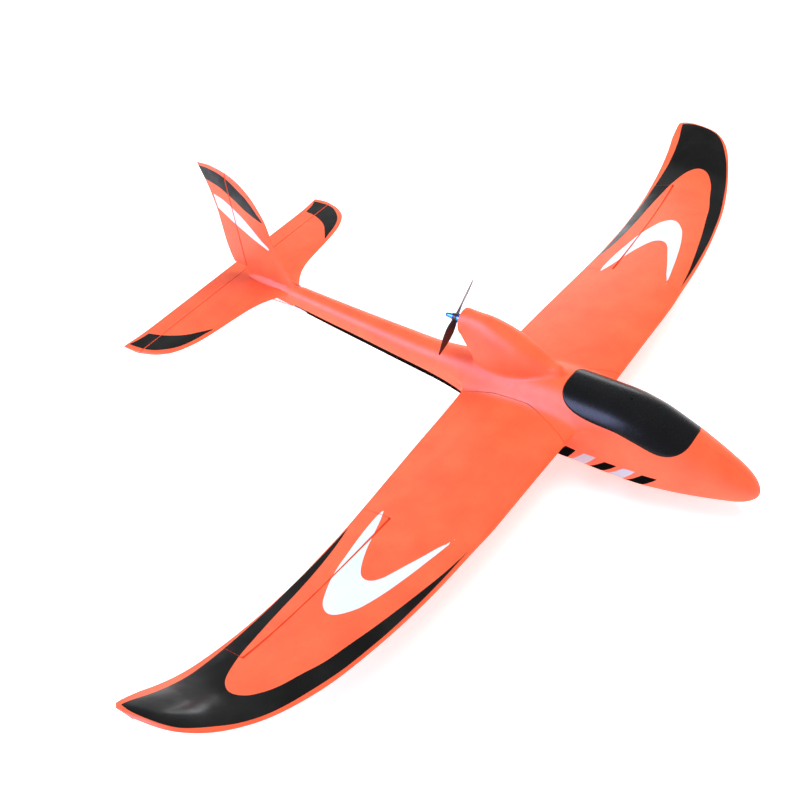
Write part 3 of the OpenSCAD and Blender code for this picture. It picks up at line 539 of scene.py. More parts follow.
def surface_net(values, origin, step):
    """Net of quads between the grid cells that the surface crosses."""
    inside = values < 0
    corners = [(a, b, c) for a in (0, 1) for b in (0, 1) for c in (0, 1)]
    shape = tuple(n - 1 for n in values.shape)
    windows = [tuple(slice(o, o + n) for o, n in zip(corner, shape)) for corner in corners]
    count = sum(inside[window].astype(np.int8) for window in windows)
    mixed = (count > 0) & (count < 8)
    index = np.full(shape, -1)
    cells = np.argwhere(mixed)
    index[mixed] = np.arange(len(cells))
    at = np.zeros((len(cells), 3))
    hits = np.zeros(len(cells))
    for a in corners:
        for axis in range(3):
            if a[axis]:
                continue
            b = tuple(1 if k == axis else a[k] for k in range(3))
            va = values[tuple((cells + a).T)]
            vb = values[tuple((cells + b).T)]
            cross = (va < 0) != (vb < 0)
            w = np.where(cross, va / np.where(cross, va - vb, 1), 0)[:, None]
            at += np.where(cross[:, None], np.array(a) + w * (np.array(b) - np.array(a)), 0)
            hits += cross
    quads = []
    for axis in range(3):
        u, w = (axis + 1) % 3, (axis + 2) % 3
        lo = [slice(None)] * 3
        hi = [slice(None)] * 3
        lo[axis], hi[axis] = slice(None, -1), slice(1, None)
        change = inside[tuple(lo)] != inside[tuple(hi)]
        start = inside[tuple(lo)]
        spots = np.argwhere(change)
        ok = np.ones(len(spots), bool)
        for k in (u, w):
            ok &= (spots[:, k] >= 1) & (spots[:, k] < shape[k])
        spots = spots[ok]
        out = start[tuple(spots.T)]
        du, dw = np.eye(3, dtype=int)[u], np.eye(3, dtype=int)[w]
        q = np.stack([index[tuple((spots - s).T)] for s in (du + dw, dw, 0 * du, du)], 1)
        q[~out] = q[~out][:, ::-1]
        quads.append(q)
    v = origin + (cells + at / hits[:, None]) * step
    q = np.concatenate(quads)
    return v, quads_to_tris(q[(q >= 0).all(1)])


def settle(v, f):
    """Moves the points of a net onto the exact surface."""
    e = NUDGE
    for _ in range(4):
        p = v.T
        d = hull(p)
        g = np.stack([hull(p + np.eye(3)[k][:, None] * e) - d for k in range(3)]) / e
        move = d * g / np.maximum((g**2).sum(0), 0.2)
        v = v - np.clip(move, -1.5, 1.5).T
    return v, f


NET_STEP = 1.7
net_low, net_high = np.array([-594, -3.4, -4]), np.array([298, 97, 190])
axes = [np.arange(a, b, NET_STEP) for a, b in zip(net_low, net_high)]
gx, gy, gz = np.meshgrid(*axes, indexing="ij", sparse=True)


def grid_distance(phi):
    value = phi(gx, gy, gz)
    g = np.gradient(value, NET_STEP)
    return value / np.maximum(np.sqrt(g[0] ** 2 + g[1] ** 2 + g[2] ** 2), 0.3)


hull_values = hull_join(grid_distance(body_phi), grid_distance(pod_phi), grid_distance(wing_phi), gz)
outer = gy[0, :, 0] > 95  # the wing's stub ends here
hull_values[:, outer, :] = np.maximum(hull_values[:, outer, :], 1)
skin = settle(*surface_net(hull_values, net_low, NET_STEP))
del hull_values

# Half plan of the seam between wing and fuselage: x, distance from the centre line
ROOT_SEAM = [
    (-150, 48), (-128, 46.5), (-113, 45), (-92, 44.4), (-68, 44.4), (-43, 45.4), (-16, 49.5), (14, 61),
    (30, 68), (46, 76), (58, 82), (72, 90), (90, 100),
]
seam_line = curve([s[0] for s in ROOT_SEAM], [s[1] for s in ROOT_SEAM], 4)
FOIL_END, POD_FRONT = -140, 16


def seam_side(v):
    """Negative on the fuselage's side of the wing seam."""
    p = v.T
    nearer = distance(body_phi, p) - distance(wing_phi, p)
    return np.where(v[:, 0] < FOIL_END, -5.0, np.minimum(v[:, 1] - seam_line(v[:, 0]), nearer))


def pod_side(v):
    """Negative on the fuselage's side of the pod's foot."""
    p = v.T
    return np.where(v[:, 0] > POD_FRONT, -5.0, distance(body_phi, p) - distance(pod_phi, p))


CANOPY_MID, CANOPY_HALF, CANOPY_HALF_WIDTH = 110.75, 90.75, 44.3
FRONT_POWER, REAR_POWER = 3.5, 4.3  # how square the canopy's outline is
CANOPY_GAP, CANOPY_SHELL, LEDGE, BAY_WALL = 0.45, 4.0, 8.0, 9.0
SEAT = CANOPY_SHELL + CANOPY_GAP  # depth of the ledge under the canopy
OPENING_LOW = 70  # openings in the fuselage's top stay above this height


def outline_side(v, shrink):
    """About the distance outside the canopy's outline, made smaller by shrink."""

    def level(x, y):
        e = np.where(x > CANOPY_MID, FRONT_POWER, REAR_POWER)
        a = np.abs(x - CANOPY_MID) / (CANOPY_HALF - shrink)
        b = np.abs(y) / (CANOPY_HALF_WIDTH - shrink)
        return (a**e + b**e) ** (1 / e) - 1

    x, y = v[:, 0], v[:, 1]
    h = 0.1
    gx = (level(x + h, y) - level(x - h, y)) / (2 * h)
    gy = (level(x, y + h) - level(x, y - h)) / (2 * h)
    return level(x, y) / np.maximum(np.hypot(gx, gy), 1e-3)


def outline_points(shrink, count=140):
    """Left half of the outline, from the front to the rear."""
    t = np.linspace(math.pi / 2, -math.pi / 2, count)
    e = 2 / np.where(t > 0, FRONT_POWER, REAR_POWER)
    s, c = np.sin(t), np.maximum(np.cos(t), 0)
    x = CANOPY_MID + (CANOPY_HALF - shrink) * np.sign(s) * np.abs(s) ** e
    return x, (CANOPY_HALF_WIDTH - shrink) * c**e


SADDLE_FRONT = -478.05
SADDLE_TOP = [(-506, -500), (110.05, 117.75)]  # the skin stands up beside the tailplane's blunt nose
HAIR = 0.12  # half of the gap where two foam pieces meet

half = clip(skin, lambda v: HAIR - v[:, 1])
fuselage = clip(half, lambda v: seam_side(v) + 2.5 * HAIR)
fuselage = clip(fuselage, lambda v: pod_side(v) + HAIR)
fuselage = clip(fuselage, lambda v: np.minimum(-outline_side(v, -CANOPY_GAP), v[:, 2] - OPENING_LOW))


def saddle_side(v):
    """Negative outside the saddle cut for the tailplane."""
    return np.minimum(SADDLE_FRONT - v[:, 0], v[:, 2] - np.interp(v[:, 0], *SADDLE_TOP))


fuselage = with_lip(clip(fuselage, saddle_side), 2.0)


def ledge_line(shrink, inset):
    x, y = outline_points(shrink)
    return np.stack([x, np.maximum(y, HAIR), body_top(x, y, inset)], 1)


ledge = join(
    strip(ledge_line(-CANOPY_GAP, 0.8), ledge_line(-CANOPY_GAP, SEAT), flip=True),
    strip(ledge_line(-CANOPY_GAP, SEAT), ledge_line(3.5, SEAT), ledge_line(LEDGE, SEAT), flip=True),
    strip(ledge_line(LEDGE, SEAT), ledge_line(LEDGE, BAY_WALL + 0.3), flip=True),
)


def bay_ring(x, count=60):
    """Left half of the bay's inner section, from the bottom to the top."""
    t = np.linspace(-math.pi / 2, math.pi / 2, count)
    half_w = math.sqrt(body_q(x))
    half_h = half_w / body_r(x) - BAY_WALL
    e = 2 / BODY_POWER
    y = (half_w - BAY_WALL) * np.abs(np.cos(t)) ** e
    z = body_z(x) + half_h * np.sign(np.sin(t)) * np.abs(np.sin(t)) ** e
    return np.stack([np.full(count, x), np.maximum(y, HAIR), z], 1)


bay_lines = [bay_ring(x) for x in np.linspace(-117, 208, 120)]
bay = strip(*bay_lines, flip=True)
bay = clip(bay, lambda v: np.minimum(-outline_side(v, LEDGE), v[:, 2] - OPENING_LOW))
for ring, turn in ((bay_lines[0], False), (bay_lines[-1], True)):
    middle = np.tile(ring.mean(0) * [1, 0, 1] + [0, HAIR, 0], (len(ring), 1))
    bay = join(bay, strip(ring, middle, flip=turn))
fuselage = join(fuselage, ledge, bay)
for side, turn in SIDES:
    foam_piece(f"fuselage_{side}", turn(fuselage))

# Motor pod with its open mouth
MOTOR_AXIS, MOUTH_RADIUS, POD_REAR, MOUNT_X = 168.5, 15.5, -149.5, -115.6
pod = clip(skin, lambda v: -pod_side(v) + HAIR)
pod = clip(pod, lambda v: v[:, 0] - POD_FRONT)
pod = clip(pod, lambda v: -v[:, 1])
pod = clip(pod, lambda v: POD_REAR - v[:, 0])
rim = rim_edges(pod[1])
at_mouth = np.abs(pod[0][rim[:, 0]][:, 0] - POD_REAR) < 0.01
ring = pod[0][np.unique(rim[at_mouth])]
ring = ring[np.argsort(np.arctan2(ring[:, 2] - MOTOR_AXIS, ring[:, 1]))]
angle = np.arctan2(ring[:, 2] - MOTOR_AXIS, ring[:, 1])


def mouth_line(x, r):
    return np.stack([np.full(len(angle), x), r * np.cos(angle), MOTOR_AXIS + r * np.sin(angle)], 1)


mouth = [(POD_REAR - 0.35, MOUTH_RADIUS + 0.7), (POD_REAR - 0.1, MOUTH_RADIUS + 0.1),
         (POD_REAR + 1.2, MOUTH_RADIUS), (MOUNT_X, MOUTH_RADIUS), (MOUNT_X, 3)]
pod = join(
    with_lip(pod, 2.0, lambda m: (m[:, 1] > 0.3) & (m[:, 0] > POD_REAR + 0.3)),
    strip(ring, *[mouth_line(x, r) for x, r in mouth], flip=True),
)
foam_piece("motor_pod", join(pod, mirrored(pod)))

# Canopy: a shell whose edge is rounded over
shares = np.concatenate([np.linspace(0.02, 0.93, 46), np.linspace(0.94, 1.0, 14)])
EDGE_ROUND = 1.3


def canopy_line(share, inset, shrink=0.0):
    x, y = outline_points(shrink)
    x = CANOPY_MID + (x - CANOPY_MID) * share
    y = y * share
    depth = outline_side(np.stack([x, y], 1), shrink)
    near = np.clip(1 + depth / EDGE_ROUND, 0, 1)
    fall = EDGE_ROUND * (1 - np.sqrt(1 - near**2)) if inset < 1 else 0
    return np.stack([x, y, body_top(x, y, inset) - fall], 1)


canopy_lines = [canopy_line(s, 0.0) for s in shares]
inner = [canopy_line(s, CANOPY_SHELL, 1.6) for s in shares[::-1]]
low_edge = canopy_line(1.0, CANOPY_SHELL)
canopy = strip(*canopy_lines, low_edge, *inner)
canopy = join(canopy, mirrored(canopy))
piece("canopy_shell", canopy, "canopy", "canopy", ["canopy"], 40)

# --- wing ---


def settle_height(v):
    """Slides points near the root up or down onto the joined surface."""
    near = (v[:, 1] < 112) & (v[:, 0] > -137)
    p = v[near].T.copy()
    e = NUDGE
    for _ in range(6):
        d = hull(p)
        slope = (hull(p + np.array([[0], [0], [e]])) - d) / e
        slope = np.where(np.abs(slope) < 0.25, np.sign(slope + 1e-9) * 0.25, slope)
        p[2] -= np.clip(d / slope, -1.5, 1.5)
    out = v.copy()
    out[near] = p.T
    return out


def edge_spaced(n):
    """0 to 1, closest at both ends."""
    return (1 - np.cos(np.linspace(0, math.pi, n))) / 2


wing_y = np.concatenate([np.arange(38, 100, 1.6), np.arange(100, 640, 2.6), np.arange(640, 692, 1.6),
                         np.linspace(692, HALF_SPAN, 9)])
wing_u = edge_spaced(84)


def wing_face(side):
    y, uu = np.meshgrid(wing_y, wing_u, indexing="ij")
    x = wing_le(y) + (wing_te(y) - wing_le(y)) * uu
    return np.stack([x, y, wing_faces(x, y, side)], -1)


top, bottom = wing_face(1), wing_face(-1)
ring = np.concatenate([top, bottom[:, ::-1][:, :-1]], 1)
wing_skin = (settle_height(ring.reshape(-1, 3)), grid_tris(len(wing_y), ring.shape[1], wrap=True, flip=True))
tip_mid = (top[-1] + bottom[-1]) / 2 + [0, 1.1, 0]
wing_skin = weld(*join(wing_skin, strip(top[-1], tip_mid, bottom[-1], flip=True)), grain=1e-3)

AILERON_IN, AILERON_OUT = 304.0, 566.3
HINGE_START, HINGE_END = (-70.0, 79.6), (-87.5, 88.2)
SWEEP = (HINGE_START[0] - HINGE_END[0]) / (AILERON_OUT - AILERON_IN)
END_TRIM = 0.3
SURFACE_GAP, BEVEL = 0.6, math.tan(math.radians(21))
WALL_AHEAD = 0.4  # from a hinge line to the foam wall before it


def hinge_share(y):
    return (np.abs(y) - AILERON_IN) / (AILERON_OUT - AILERON_IN)


def hinge_x(y):
    return HINGE_START[0] + (HINGE_END[0] - HINGE_START[0]) * hinge_share(y)


def hinge_height(y):
    return HINGE_START[1] + (HINGE_END[1] - HINGE_START[1]) * hinge_share(y)


def inner_end(x):
    """The aileron's bay ends square to its hinge line."""
    return AILERON_IN + END_TRIM + (x - HINGE_START[0]) * SWEEP


def outer_end(x):
    return AILERON_OUT - END_TRIM + (x - HINGE_END[0]) * SWEEP


def aileron_bay(v):
    x, y = v[:, 0], v[:, 1]
    return np.maximum(np.maximum(x - (hinge_x(y) + WALL_AHEAD), inner_end(x) - y), y - outer_end(x))


def aileron_side(v):
    x, y = v[:, 0], v[:, 1]
    lean = np.abs(v[:, 2] - hinge_height(y)) * BEVEL
    ends = np.maximum(inner_end(x) + SURFACE_GAP - y, y - (outer_end(x) - SURFACE_GAP))
    return np.maximum(x - (hinge_x(y) - SURFACE_GAP - lean), ends)


def wing_wall(x, y):
    """Upright wall between the wing's two faces, along a path."""
    lines = [np.stack([x, y, wing_faces(x, y, level)], 1) for level in np.linspace(1, -1, 5)]
    return strip(*lines, flip=True)


# The aileron servo's pocket: rear, front, inner and outer side of its three boxes about the servo
SERVO_X, SERVO_Y = -21.1, 352.0
POCKET = [(-17, 6, -26.1, -3), (-21.6, 10.6, -11.1, -3), (-10.5, 10.5, -3.2, 5)]


def pocket_side(v):
    """Negative inside the aileron servo's pocket, on the underside only."""
    x, y = v[:, 0] - SERVO_X, v[:, 1] - SERVO_Y
    x, y = x + y * SWEEP, y - x * SWEEP
    boxes = [np.maximum(np.maximum(a - x, x - b), np.maximum(c - y, y - d)) for a, b, c, d in POCKET]
    g = np.minimum(np.minimum(boxes[0], boxes[1]), boxes[2])
    _, mid, _ = wing_parts(v[:, 0], v[:, 1])
    return np.where(v[:, 2] < mid, g, 5.0)


ROOT_Y = 42.0  # inner end of the wing panel's skin
panel = clip(wing_skin, lambda v: -aileron_bay(v))
panel = clip(panel, lambda v: -seam_side(v) + 2.5 * HAIR)
panel = clip(panel, lambda v: ROOT_Y - v[:, 1])
panel = clip(panel, lambda v: -pocket_side(v))


def pocket_walls(mesh, depth):
    """Walls up from the pocket's edge."""
    v, f = mesh
    e = rim_edges(f)
    m = v[e].mean(1)
    e = e[(np.abs(m[:, 0] - SERVO_X) < 26) & (np.abs(m[:, 1] - SERVO_Y + 10) < 22)]
    low = v[e[:, ::-1]]
    high = low + [0, 0, depth]
    quads = np.concatenate([low, high[:, ::-1]], 1).reshape(-1, 3)
    q = np.arange(len(quads)).reshape(-1, 4)
    return weld(quads, quads_to_tris(q), 1e-3)


pocket = pocket_walls(panel, 9.0)
panel = with_lip(panel, 2.0, lambda m: m[:, 1] < 112)
inner_x = np.linspace(float(wing_te(AILERON_IN)), HINGE_START[0] + WALL_AHEAD, 24)
outer_x = np.linspace(HINGE_END[0] + WALL_AHEAD, float(wing_te(AILERON_OUT)), 24)
front_y = np.linspace(float(inner_end(HINGE_START[0])), float(outer_end(HINGE_END[0])), 110)
panel = join(panel, pocket, wing_wall(inner_x, inner_end(inner_x)),
             wing_wall(hinge_x(front_y) + WALL_AHEAD, front_y), wing_wall(outer_x, outer_end(outer_x)))
for side, turn in SIDES:
    foam_piece(f"wing_{side}", turn(panel))


def nose_lines(y, height, faces, x0, shear=0.0):
    """Lines along a control surface's bevelled front, from its upper to its lower face."""
    out = []
    for level in (1, 0.5, 0, -0.5, -1):
        side = 1 if level >= 0 else -1
        x = x0 - SURFACE_GAP + 0 * y
        for _ in range(12):
            x = x0 - SURFACE_GAP - np.abs(faces(x, y, side) - height) * BEVEL
        share = abs(level)
        x, z = (x - x0 + SURFACE_GAP) * share, height + (faces(x, y, side) - height) * share
        out.append(np.stack([x0 - SURFACE_GAP + x, y + x * shear, z], 1))
    return out


inner_y, outer_y = float(inner_end(HINGE_START[0])), float(outer_end(HINGE_END[0]))
aileron_y = np.linspace(inner_y + SURFACE_GAP, outer_y - SURFACE_GAP, 110)
nose = nose_lines(aileron_y, hinge_height(aileron_y), wing_faces, hinge_x(aileron_y), SWEEP)


def end_wall(k, flip):
    """Flat end of the aileron: between its two faces behind the bevelled front."""
    up, mid, low = nose[0][k], nose[len(nose) // 2][k], nose[-1][k]
    x = [np.linspace(p[0], float(wing_te(aileron_y[k])), 26) for p in (up, mid, low)]
    y = [mid[1] + (row - mid[0]) * SWEEP for row in x]
    z_up, z_low = wing_faces(x[0], y[0], 1), wing_faces(x[2], y[2], -1)
    z_mid = (z_up + z_low) / 2
    z_mid[0] = mid[2]
    return strip(*[np.stack(row, 1) for row in zip(x, y, (z_up, z_mid, z_low))], flip=flip)


aileron = join(clip(wing_skin, aileron_side), strip(*nose), end_wall(0, True), end_wall(-1, False))
for side, turn in SIDES:
    foam_piece(f"aileron_{side}", turn(aileron), f"aileron_{side}")

# --- tail ---

def tail_lines(rows):
    """The leading edge, trailing edge and thickness along a tail surface."""
    at = [row[0] for row in rows]
    return [curve(at, [row[k] for row in rows], 2.5, 20) for k in (1, 2, 3)]


stab_le, stab_te, stab_thick = tail_lines(STAB)
fin_le, fin_te, fin_thick = tail_lines(FIN)


def flat_half(x, along, le, te, thick):
    chord = le(along) - te(along)
    share = np.clip((le(along) - x) / chord, 0, 1)
    return thick(along) * foil(share) + TRAILING_HALF * share


def stab_depth(x, y):
    return flat_half(x, np.abs(y), stab_le, stab_te, stab_thick)


def stab_faces(x, y, side):
    return STAB_HEIGHT + side * stab_depth(x, y)


def cap_half(x, z):
    """Half width of the fuselage's top at a height, negative above it."""
    p = BODY_POWER
    q = np.maximum(body_q(x), 0.01) ** (p / 2) - np.abs(body_r(x) * (z - body_z(x))) ** p
    return np.sign(q) * np.abs(q) ** (1 / p)


def fin_half(x, z):
    plain = flat_half(x, z, fin_le, fin_te, fin_thick)
    cap = np.where(x > -577, cap_half(x, z), -20.0)
    return -soft_min(-plain, -cap, 5.0)


def sheet(le, te, lo, hi, along, face, swap):
    """Closed skin of a thin surface between two edges, with rounded-over ends."""
    a, b = np.meshgrid(along, edge_spaced(60), indexing="ij")
    x = le(np.abs(a)) + (te(np.abs(a)) - le(np.abs(a))) * b
    h = face(x, a)
    up = np.stack([x, a, h], -1)
    down = np.stack([x, a, -h], -1)
    ring = np.concatenate([up, down[:, ::-1][:, :-1]], 1)
    n = ring.shape[1]
    v = ring.reshape(-1, 3)
    meshes = [(v, grid_tris(len(along), n, wrap=True, flip=True))]
    for k, grow, turn in ((0, lo, False), (len(along) - 1, hi, True)):
        mid = (up[k] + down[k]) / 2 + [0, grow, 0]
        meshes.append(strip(up[k], mid, down[k], flip=turn))
    v, f = weld(*join(*meshes), grain=1e-3)
    if swap:
        v = np.stack([v[:, 0], -v[:, 2], v[:, 1]], 1)
    return v, f


STAB_TIP = 238.5
stab_rows = [np.linspace(-STAB_TIP, -205, 26), np.linspace(-202, 202, 150), np.linspace(205, STAB_TIP, 26)]
stab_skin = sheet(stab_le, stab_te, -0.9, 0.9, np.concatenate(stab_rows), stab_depth, False)
stab_skin = (stab_skin[0] + [0, 0, STAB_HEIGHT], stab_skin[1])
ELEVATOR_X = -597.0
stab_front = clip(stab_skin, lambda v: ELEVATOR_X + WALL_AHEAD - v[:, 0])
stab_y = np.linspace(-238.0, 238.0, 120)
wall_x = np.full(len(stab_y), ELEVATOR_X + WALL_AHEAD)
wall_lines = [np.stack([wall_x, stab_y, stab_faces(wall_x, stab_y, s)], 1) for s in (1, 0.3, -0.3, -1)]
foam_piece("stabilizer", join(stab_front, strip(*wall_lines, flip=True)))


def elevator_side(v):
    return v[:, 0] - (ELEVATOR_X - SURFACE_GAP - np.abs(v[:, 2] - STAB_HEIGHT) * BEVEL)


elevator_skin = clip(stab_skin, elevator_side)
ey = np.linspace(-237.5, 237.5, 120)
elevator_nose = nose_lines(ey, np.full(len(ey), float(STAB_HEIGHT)), stab_faces, ELEVATOR_X)
foam_piece("elevator", join(elevator_skin, strip(*elevator_nose)), "elevator")

FIN_FOOT, FIN_TOP, RUDDER_X, RUDDER_FOOT = 117.9, 312.5, -578.0, 135.0
fin_rows = [np.linspace(FIN_FOOT, 140, 20), np.linspace(141.5, 296, 90), np.linspace(297, FIN_TOP, 16)]
fin_skin = sheet(fin_le, fin_te, 0, 0.8, np.concatenate(fin_rows), fin_half, True)

WIRE_BEND, WIRE_REAR, WIRE_ROOM = np.array([-400, 4, 102]), np.array([-578, 14, 145]), 4.5


def wire_slot(v):
    """Negative outside the slot in which the rudder's wire leaves the foam."""
    run = (WIRE_REAR - WIRE_BEND) / np.linalg.norm(WIRE_REAR - WIRE_BEND)
    along = (v - WIRE_BEND) @ run
    return WIRE_ROOM - np.linalg.norm(v - WIRE_BEND - along[:, None] * run, axis=1)


fin_front = clip(clip(fin_skin, lambda v: RUDDER_X + WALL_AHEAD - v[:, 0]), wire_slot)
fin_front = with_lip(fin_front, 0.8, lambda p: wire_slot(p) > -0.25)
fz = np.linspace(FIN_FOOT, FIN_TOP, 90)
fx = np.full(len(fz), RUDDER_X + WALL_AHEAD)
fin_wall = strip(*[np.stack([fx, s * fin_half(fx, fz), fz], 1) for s in (-1, -0.3, 0.3, 1)], flip=True)
foam_piece("fin", join(fin_front, fin_wall))


def rudder_side(v):
    return np.maximum(v[:, 0] - (RUDDER_X - SURFACE_GAP - np.abs(v[:, 1]) * BEVEL), RUDDER_FOOT - v[:, 2])


rudder_skin = clip(fin_skin, rudder_side)
rz = np.linspace(RUDDER_FOOT, FIN_TOP, 90)


def fin_faces(x, z, side):
    return side * flat_half(x, z, fin_le, fin_te, fin_thick)


rudder_nose = [ln[:, [0, 2, 1]] for ln in nose_lines(rz, np.zeros(len(rz)), fin_faces, RUDDER_X)]
foot_end = float(fin_te(RUDDER_FOOT))
foot_x = np.linspace(rudder_nose[0][0][0], foot_end, 20)
foot_mid = np.linspace(rudder_nose[2][0][0], foot_end, 20)
foot_z = np.full(20, RUDDER_FOOT)
foot_y = flat_half(foot_x, foot_z, fin_le, fin_te, fin_thick)
foot_lines = ((foot_x, foot_y), (foot_mid, 0 * foot_y), (foot_x, -foot_y))
rudder_foot = strip(*[np.stack([x, y, foot_z], 1) for x, y in foot_lines])
foam_piece("rudder", join(rudder_skin, strip(*rudder_nose, flip=True), rudder_foot), "rudder")

# --- film trim ---


def spline(points, n=12):
    """Smooth line through a few points."""
    p = np.asarray(points, float)
    p = np.concatenate([[2 * p[0] - p[1]], p, [2 * p[-1] - p[-2]]])
    out = []
    t = np.linspace(0, 1, n, endpoint=False)[:, None]
    for a, b, c, d in zip(p[:-3], p[1:-2], p[2:-1], p[3:]):
        square, cube = 2 * a - 5 * b + 4 * c - d, 3 * b - a - 3 * c + d
        out.append(0.5 * (2 * b + (c - a) * t + square * t**2 + cube * t**3))
    out.append(p[-2:-1])
    return np.concatenate(out)


def outline_of(*lines):
    return np.concatenate([spline(part)[:-1] for part in lines])


def polygon_side(x, y, poly):
    """Distance to a closed outline, negative inside it."""
    best = np.full(len(x), 1e9)
    odd = np.zeros(len(x), bool)
    for (ax, ay_), (bx, by) in zip(poly, np.roll(poly, -1, 0)):
        dx, dy = bx - ax, by - ay_
        t = np.clip(((x - ax) * dx + (y - ay_) * dy) / max(dx * dx + dy * dy, 1e-12), 0, 1)
        best = np.minimum(best, (x - ax - t * dx) ** 2 + (y - ay_ - t * dy) ** 2)
        if ay_ != by:
            cross = ((ay_ > y) != (by > y)) & (x < ax + (y - ay_) / (by - ay_) * dx)
            odd ^= cross
    return np.where(odd, -1, 1) * np.sqrt(best)


FILM = 0.1  # height of the film above the foam


def film(mesh, keep):
    """A sheet of film on the part of a skin where keep is negative."""
    part = clip(mesh, keep)
    n = normals(part)
    return with_lip((part[0] + n * FILM, part[1]), FILM + 0.05)


def upper(mesh):
    """The part of a skin that faces up."""
    v, f = mesh
    n = normals(mesh)
    return compact(v, f[(n[f][:, :, 2].mean(1) > 0)])


# Black tip patch of the wing, in plan: x, y
WING_BLACK = outline_of(
    [(-116.5, 336), (-112, 360), (-109, 380), (-106, 410), (-104, 450), (-103, 490), (-101, 520), (-96.5, 557),
     (-91, 578), (-84, 595), (-76, 605), (-65, 611), (-54, 610), (-43, 603), (-33, 590), (-24, 573), (-15, 548),
     (-4, 520), (4, 490), (14, 453), (22, 420), (31, 380), (38.5, 342), (44, 301)],
    [(44, 301), (41, 350), (37, 392), (31, 440), (24, 480), (16, 519), (5, 558), (-5, 590), (-14, 614), (-24, 636),
     (-34, 652), (-46, 668), (-60, 681), (-78, 689), (-100, 694), (-118, 696), (-133, 695)],
    [(-133, 695), (-130, 682), (-126, 666), (-123.5, 645), (-122.5, 620), (-122.5, 595), (-122, 565), (-121, 530),
     (-120, 500), (-119, 460), (-117.8, 430), (-117, 400), (-116.8, 370), (-116.5, 336)],
)
WING_WHITE = outline_of(
    [(-90, 293), (-91.3, 310), (-91.2, 325), (-90, 342), (-88, 360), (-85, 380), (-82, 400), (-77, 420), (-69, 440),
     (-61, 455), (-52, 463), (-43, 465.5), (-34, 462), (-25, 453), (-16, 440), (-8, 421), (-1, 400), (4.5, 380),
     (9.5, 360), (14, 340), (18.5, 320), (23.5, 294)],
    [(23.5, 294), (18, 309), (12, 321), (4, 341), (-4.5, 360), (-13, 379), (-19, 391), (-27, 400), (-36, 403),
     (-45, 400), (-52, 392), (-59, 379), (-67, 360), (-73, 341), (-79, 322), (-83, 310), (-90, 293)],
)
wing_up = upper(wing_skin)


def plan_side(poly):
    return lambda v: polygon_side(v[:, 0], v[:, 1], poly)


for tone, poly in (("black", WING_BLACK), ("white", WING_WHITE)):
    low_y = poly[:, 1].min() - 3
    base = clip(wing_up, lambda v: low_y - v[:, 1])
    on_panel = film(clip(base, lambda v: -aileron_bay(v)), plan_side(poly))
    on_aileron = film(clip(base, aileron_side), plan_side(poly))
    for side, turn in SIDES:
        film_piece(f"wing_{tone}_{side}", turn(on_panel), tone)
        film_piece(f"aileron_{tone}_{side}", turn(on_aileron), tone, f"aileron_{side}")

STAB_BLACK = outline_of(
    [(-531, 139), (-539.5, 150), (-548, 160), (-556, 169), (-569, 179), (-587, 188), (-602, 193), (-621, 197)],
    [(-621, 197), (-622.5, 208), (-625, 219), (-630, 231)],
    [(-630, 231), (-612, 231), (-594, 229), (-580, 224.5), (-569, 217.5), (-558, 208), (-550, 198), (-544, 186),
     (-539, 171), (-536, 158), (-531, 139)],
)
stab_up = upper(stab_skin)
stab_half = clip(stab_up, lambda v: 130 - v[:, 1])
on_stab = film(clip(stab_half, lambda v: ELEVATOR_X + WALL_AHEAD - v[:, 0]), plan_side(STAB_BLACK))
on_elevator = film(clip(stab_half, elevator_side), plan_side(STAB_BLACK))
for side, turn in SIDES:
    film_piece(f"stabilizer_{side}", turn(on_stab), "black")
    film_piece(f"elevator_{side}", turn(on_elevator), "black", "elevator")

FIN_BLACK = outline_of(
    [(-517.5, 231), (-534, 239.5), (-551, 249.5), (-565, 260), (-581, 270), (-599, 279.5), (-626, 286)],
    [(-626, 286), (-629.5, 296), (-634, 308)],
    [(-634, 308), (-614, 308), (-592, 303.5), (-574, 295.5), (-557, 282.5), (-545, 272), (-535.5, 260), (-528, 248),
     (-517.5, 231)],
)
FIN_WHITE = outline_of(
    [(-519, 189), (-530, 200), (-541, 213), (-551, 224), (-563, 235), (-580, 247), (-596, 256), (-615.5, 261.5)],
    [(-615.5, 261.5), (-614.5, 250), (-613.5, 237)],
    [(-613.5, 237), (-597, 226.5), (-579, 216), (-562, 207), (-548, 199), (-532, 190.5), (-519, 183)],
    [(-519, 183), (-516, 183.5), (-519, 189)],
)


def side_view(poly):
    return lambda v: polygon_side(v[:, 0], v[:, 2], poly)


for tone, poly in (("black", FIN_BLACK), ("white", FIN_WHITE)):
    for side, sign in (("left", 1), ("right", -1)):
        face = clip(fin_skin, lambda v: 0.05 - sign * v[:, 1])
        on_fin = film(clip(face, lambda v: RUDDER_X + WALL_AHEAD - v[:, 0]), side_view(poly))
        film_piece(f"fin_{tone}_{side}", on_fin, tone)
        if poly[:, 0].min() < RUDDER_X:
            on_rudder = film(clip(face, rudder_side), side_view(poly))
            film_piece(f"rudder_{tone}_{side}", on_rudder, tone, "rudder")

# Slanted blocks low on the nose's sides, and the stripe along the boom: x, height
BLOCKS = [
    ("black_1", [(13.4, 15), (33.2, 15), (54.8, 49), (38.8, 50.5)]),
    ("white_1", [(38.8, 15), (59.6, 15), (85.2, 49.5), (66.8, 48.5)]),
    ("black_2", [(67, 15), (86, 15), (116, 47.5), (97.8, 47)]),
    ("white_2", [(94, 14), (116, 14), (142.2, 48), (125.5, 47.5)]),
    ("black_3", [(123, 15), (145, 15), (172, 44.8), (151.5, 45.5)]),
]
STRIPE = [(-126, 54), (-156, 61.8), (-176, 64.4), (-213, 68.8), (-270, 75.5), (-348, 84.6), (-410, 91), (-474, 98),
          (-474, 91), (-410, 82), (-340, 70), (-270, 60), (-210, 52), (-156, 46), (-126, 46)]
side_skin = clip(half, lambda v: np.maximum(v[:, 2] - 100, 12 - v[:, 2]))
side_skin = clip(side_skin, lambda v: seam_side(v) + 1)
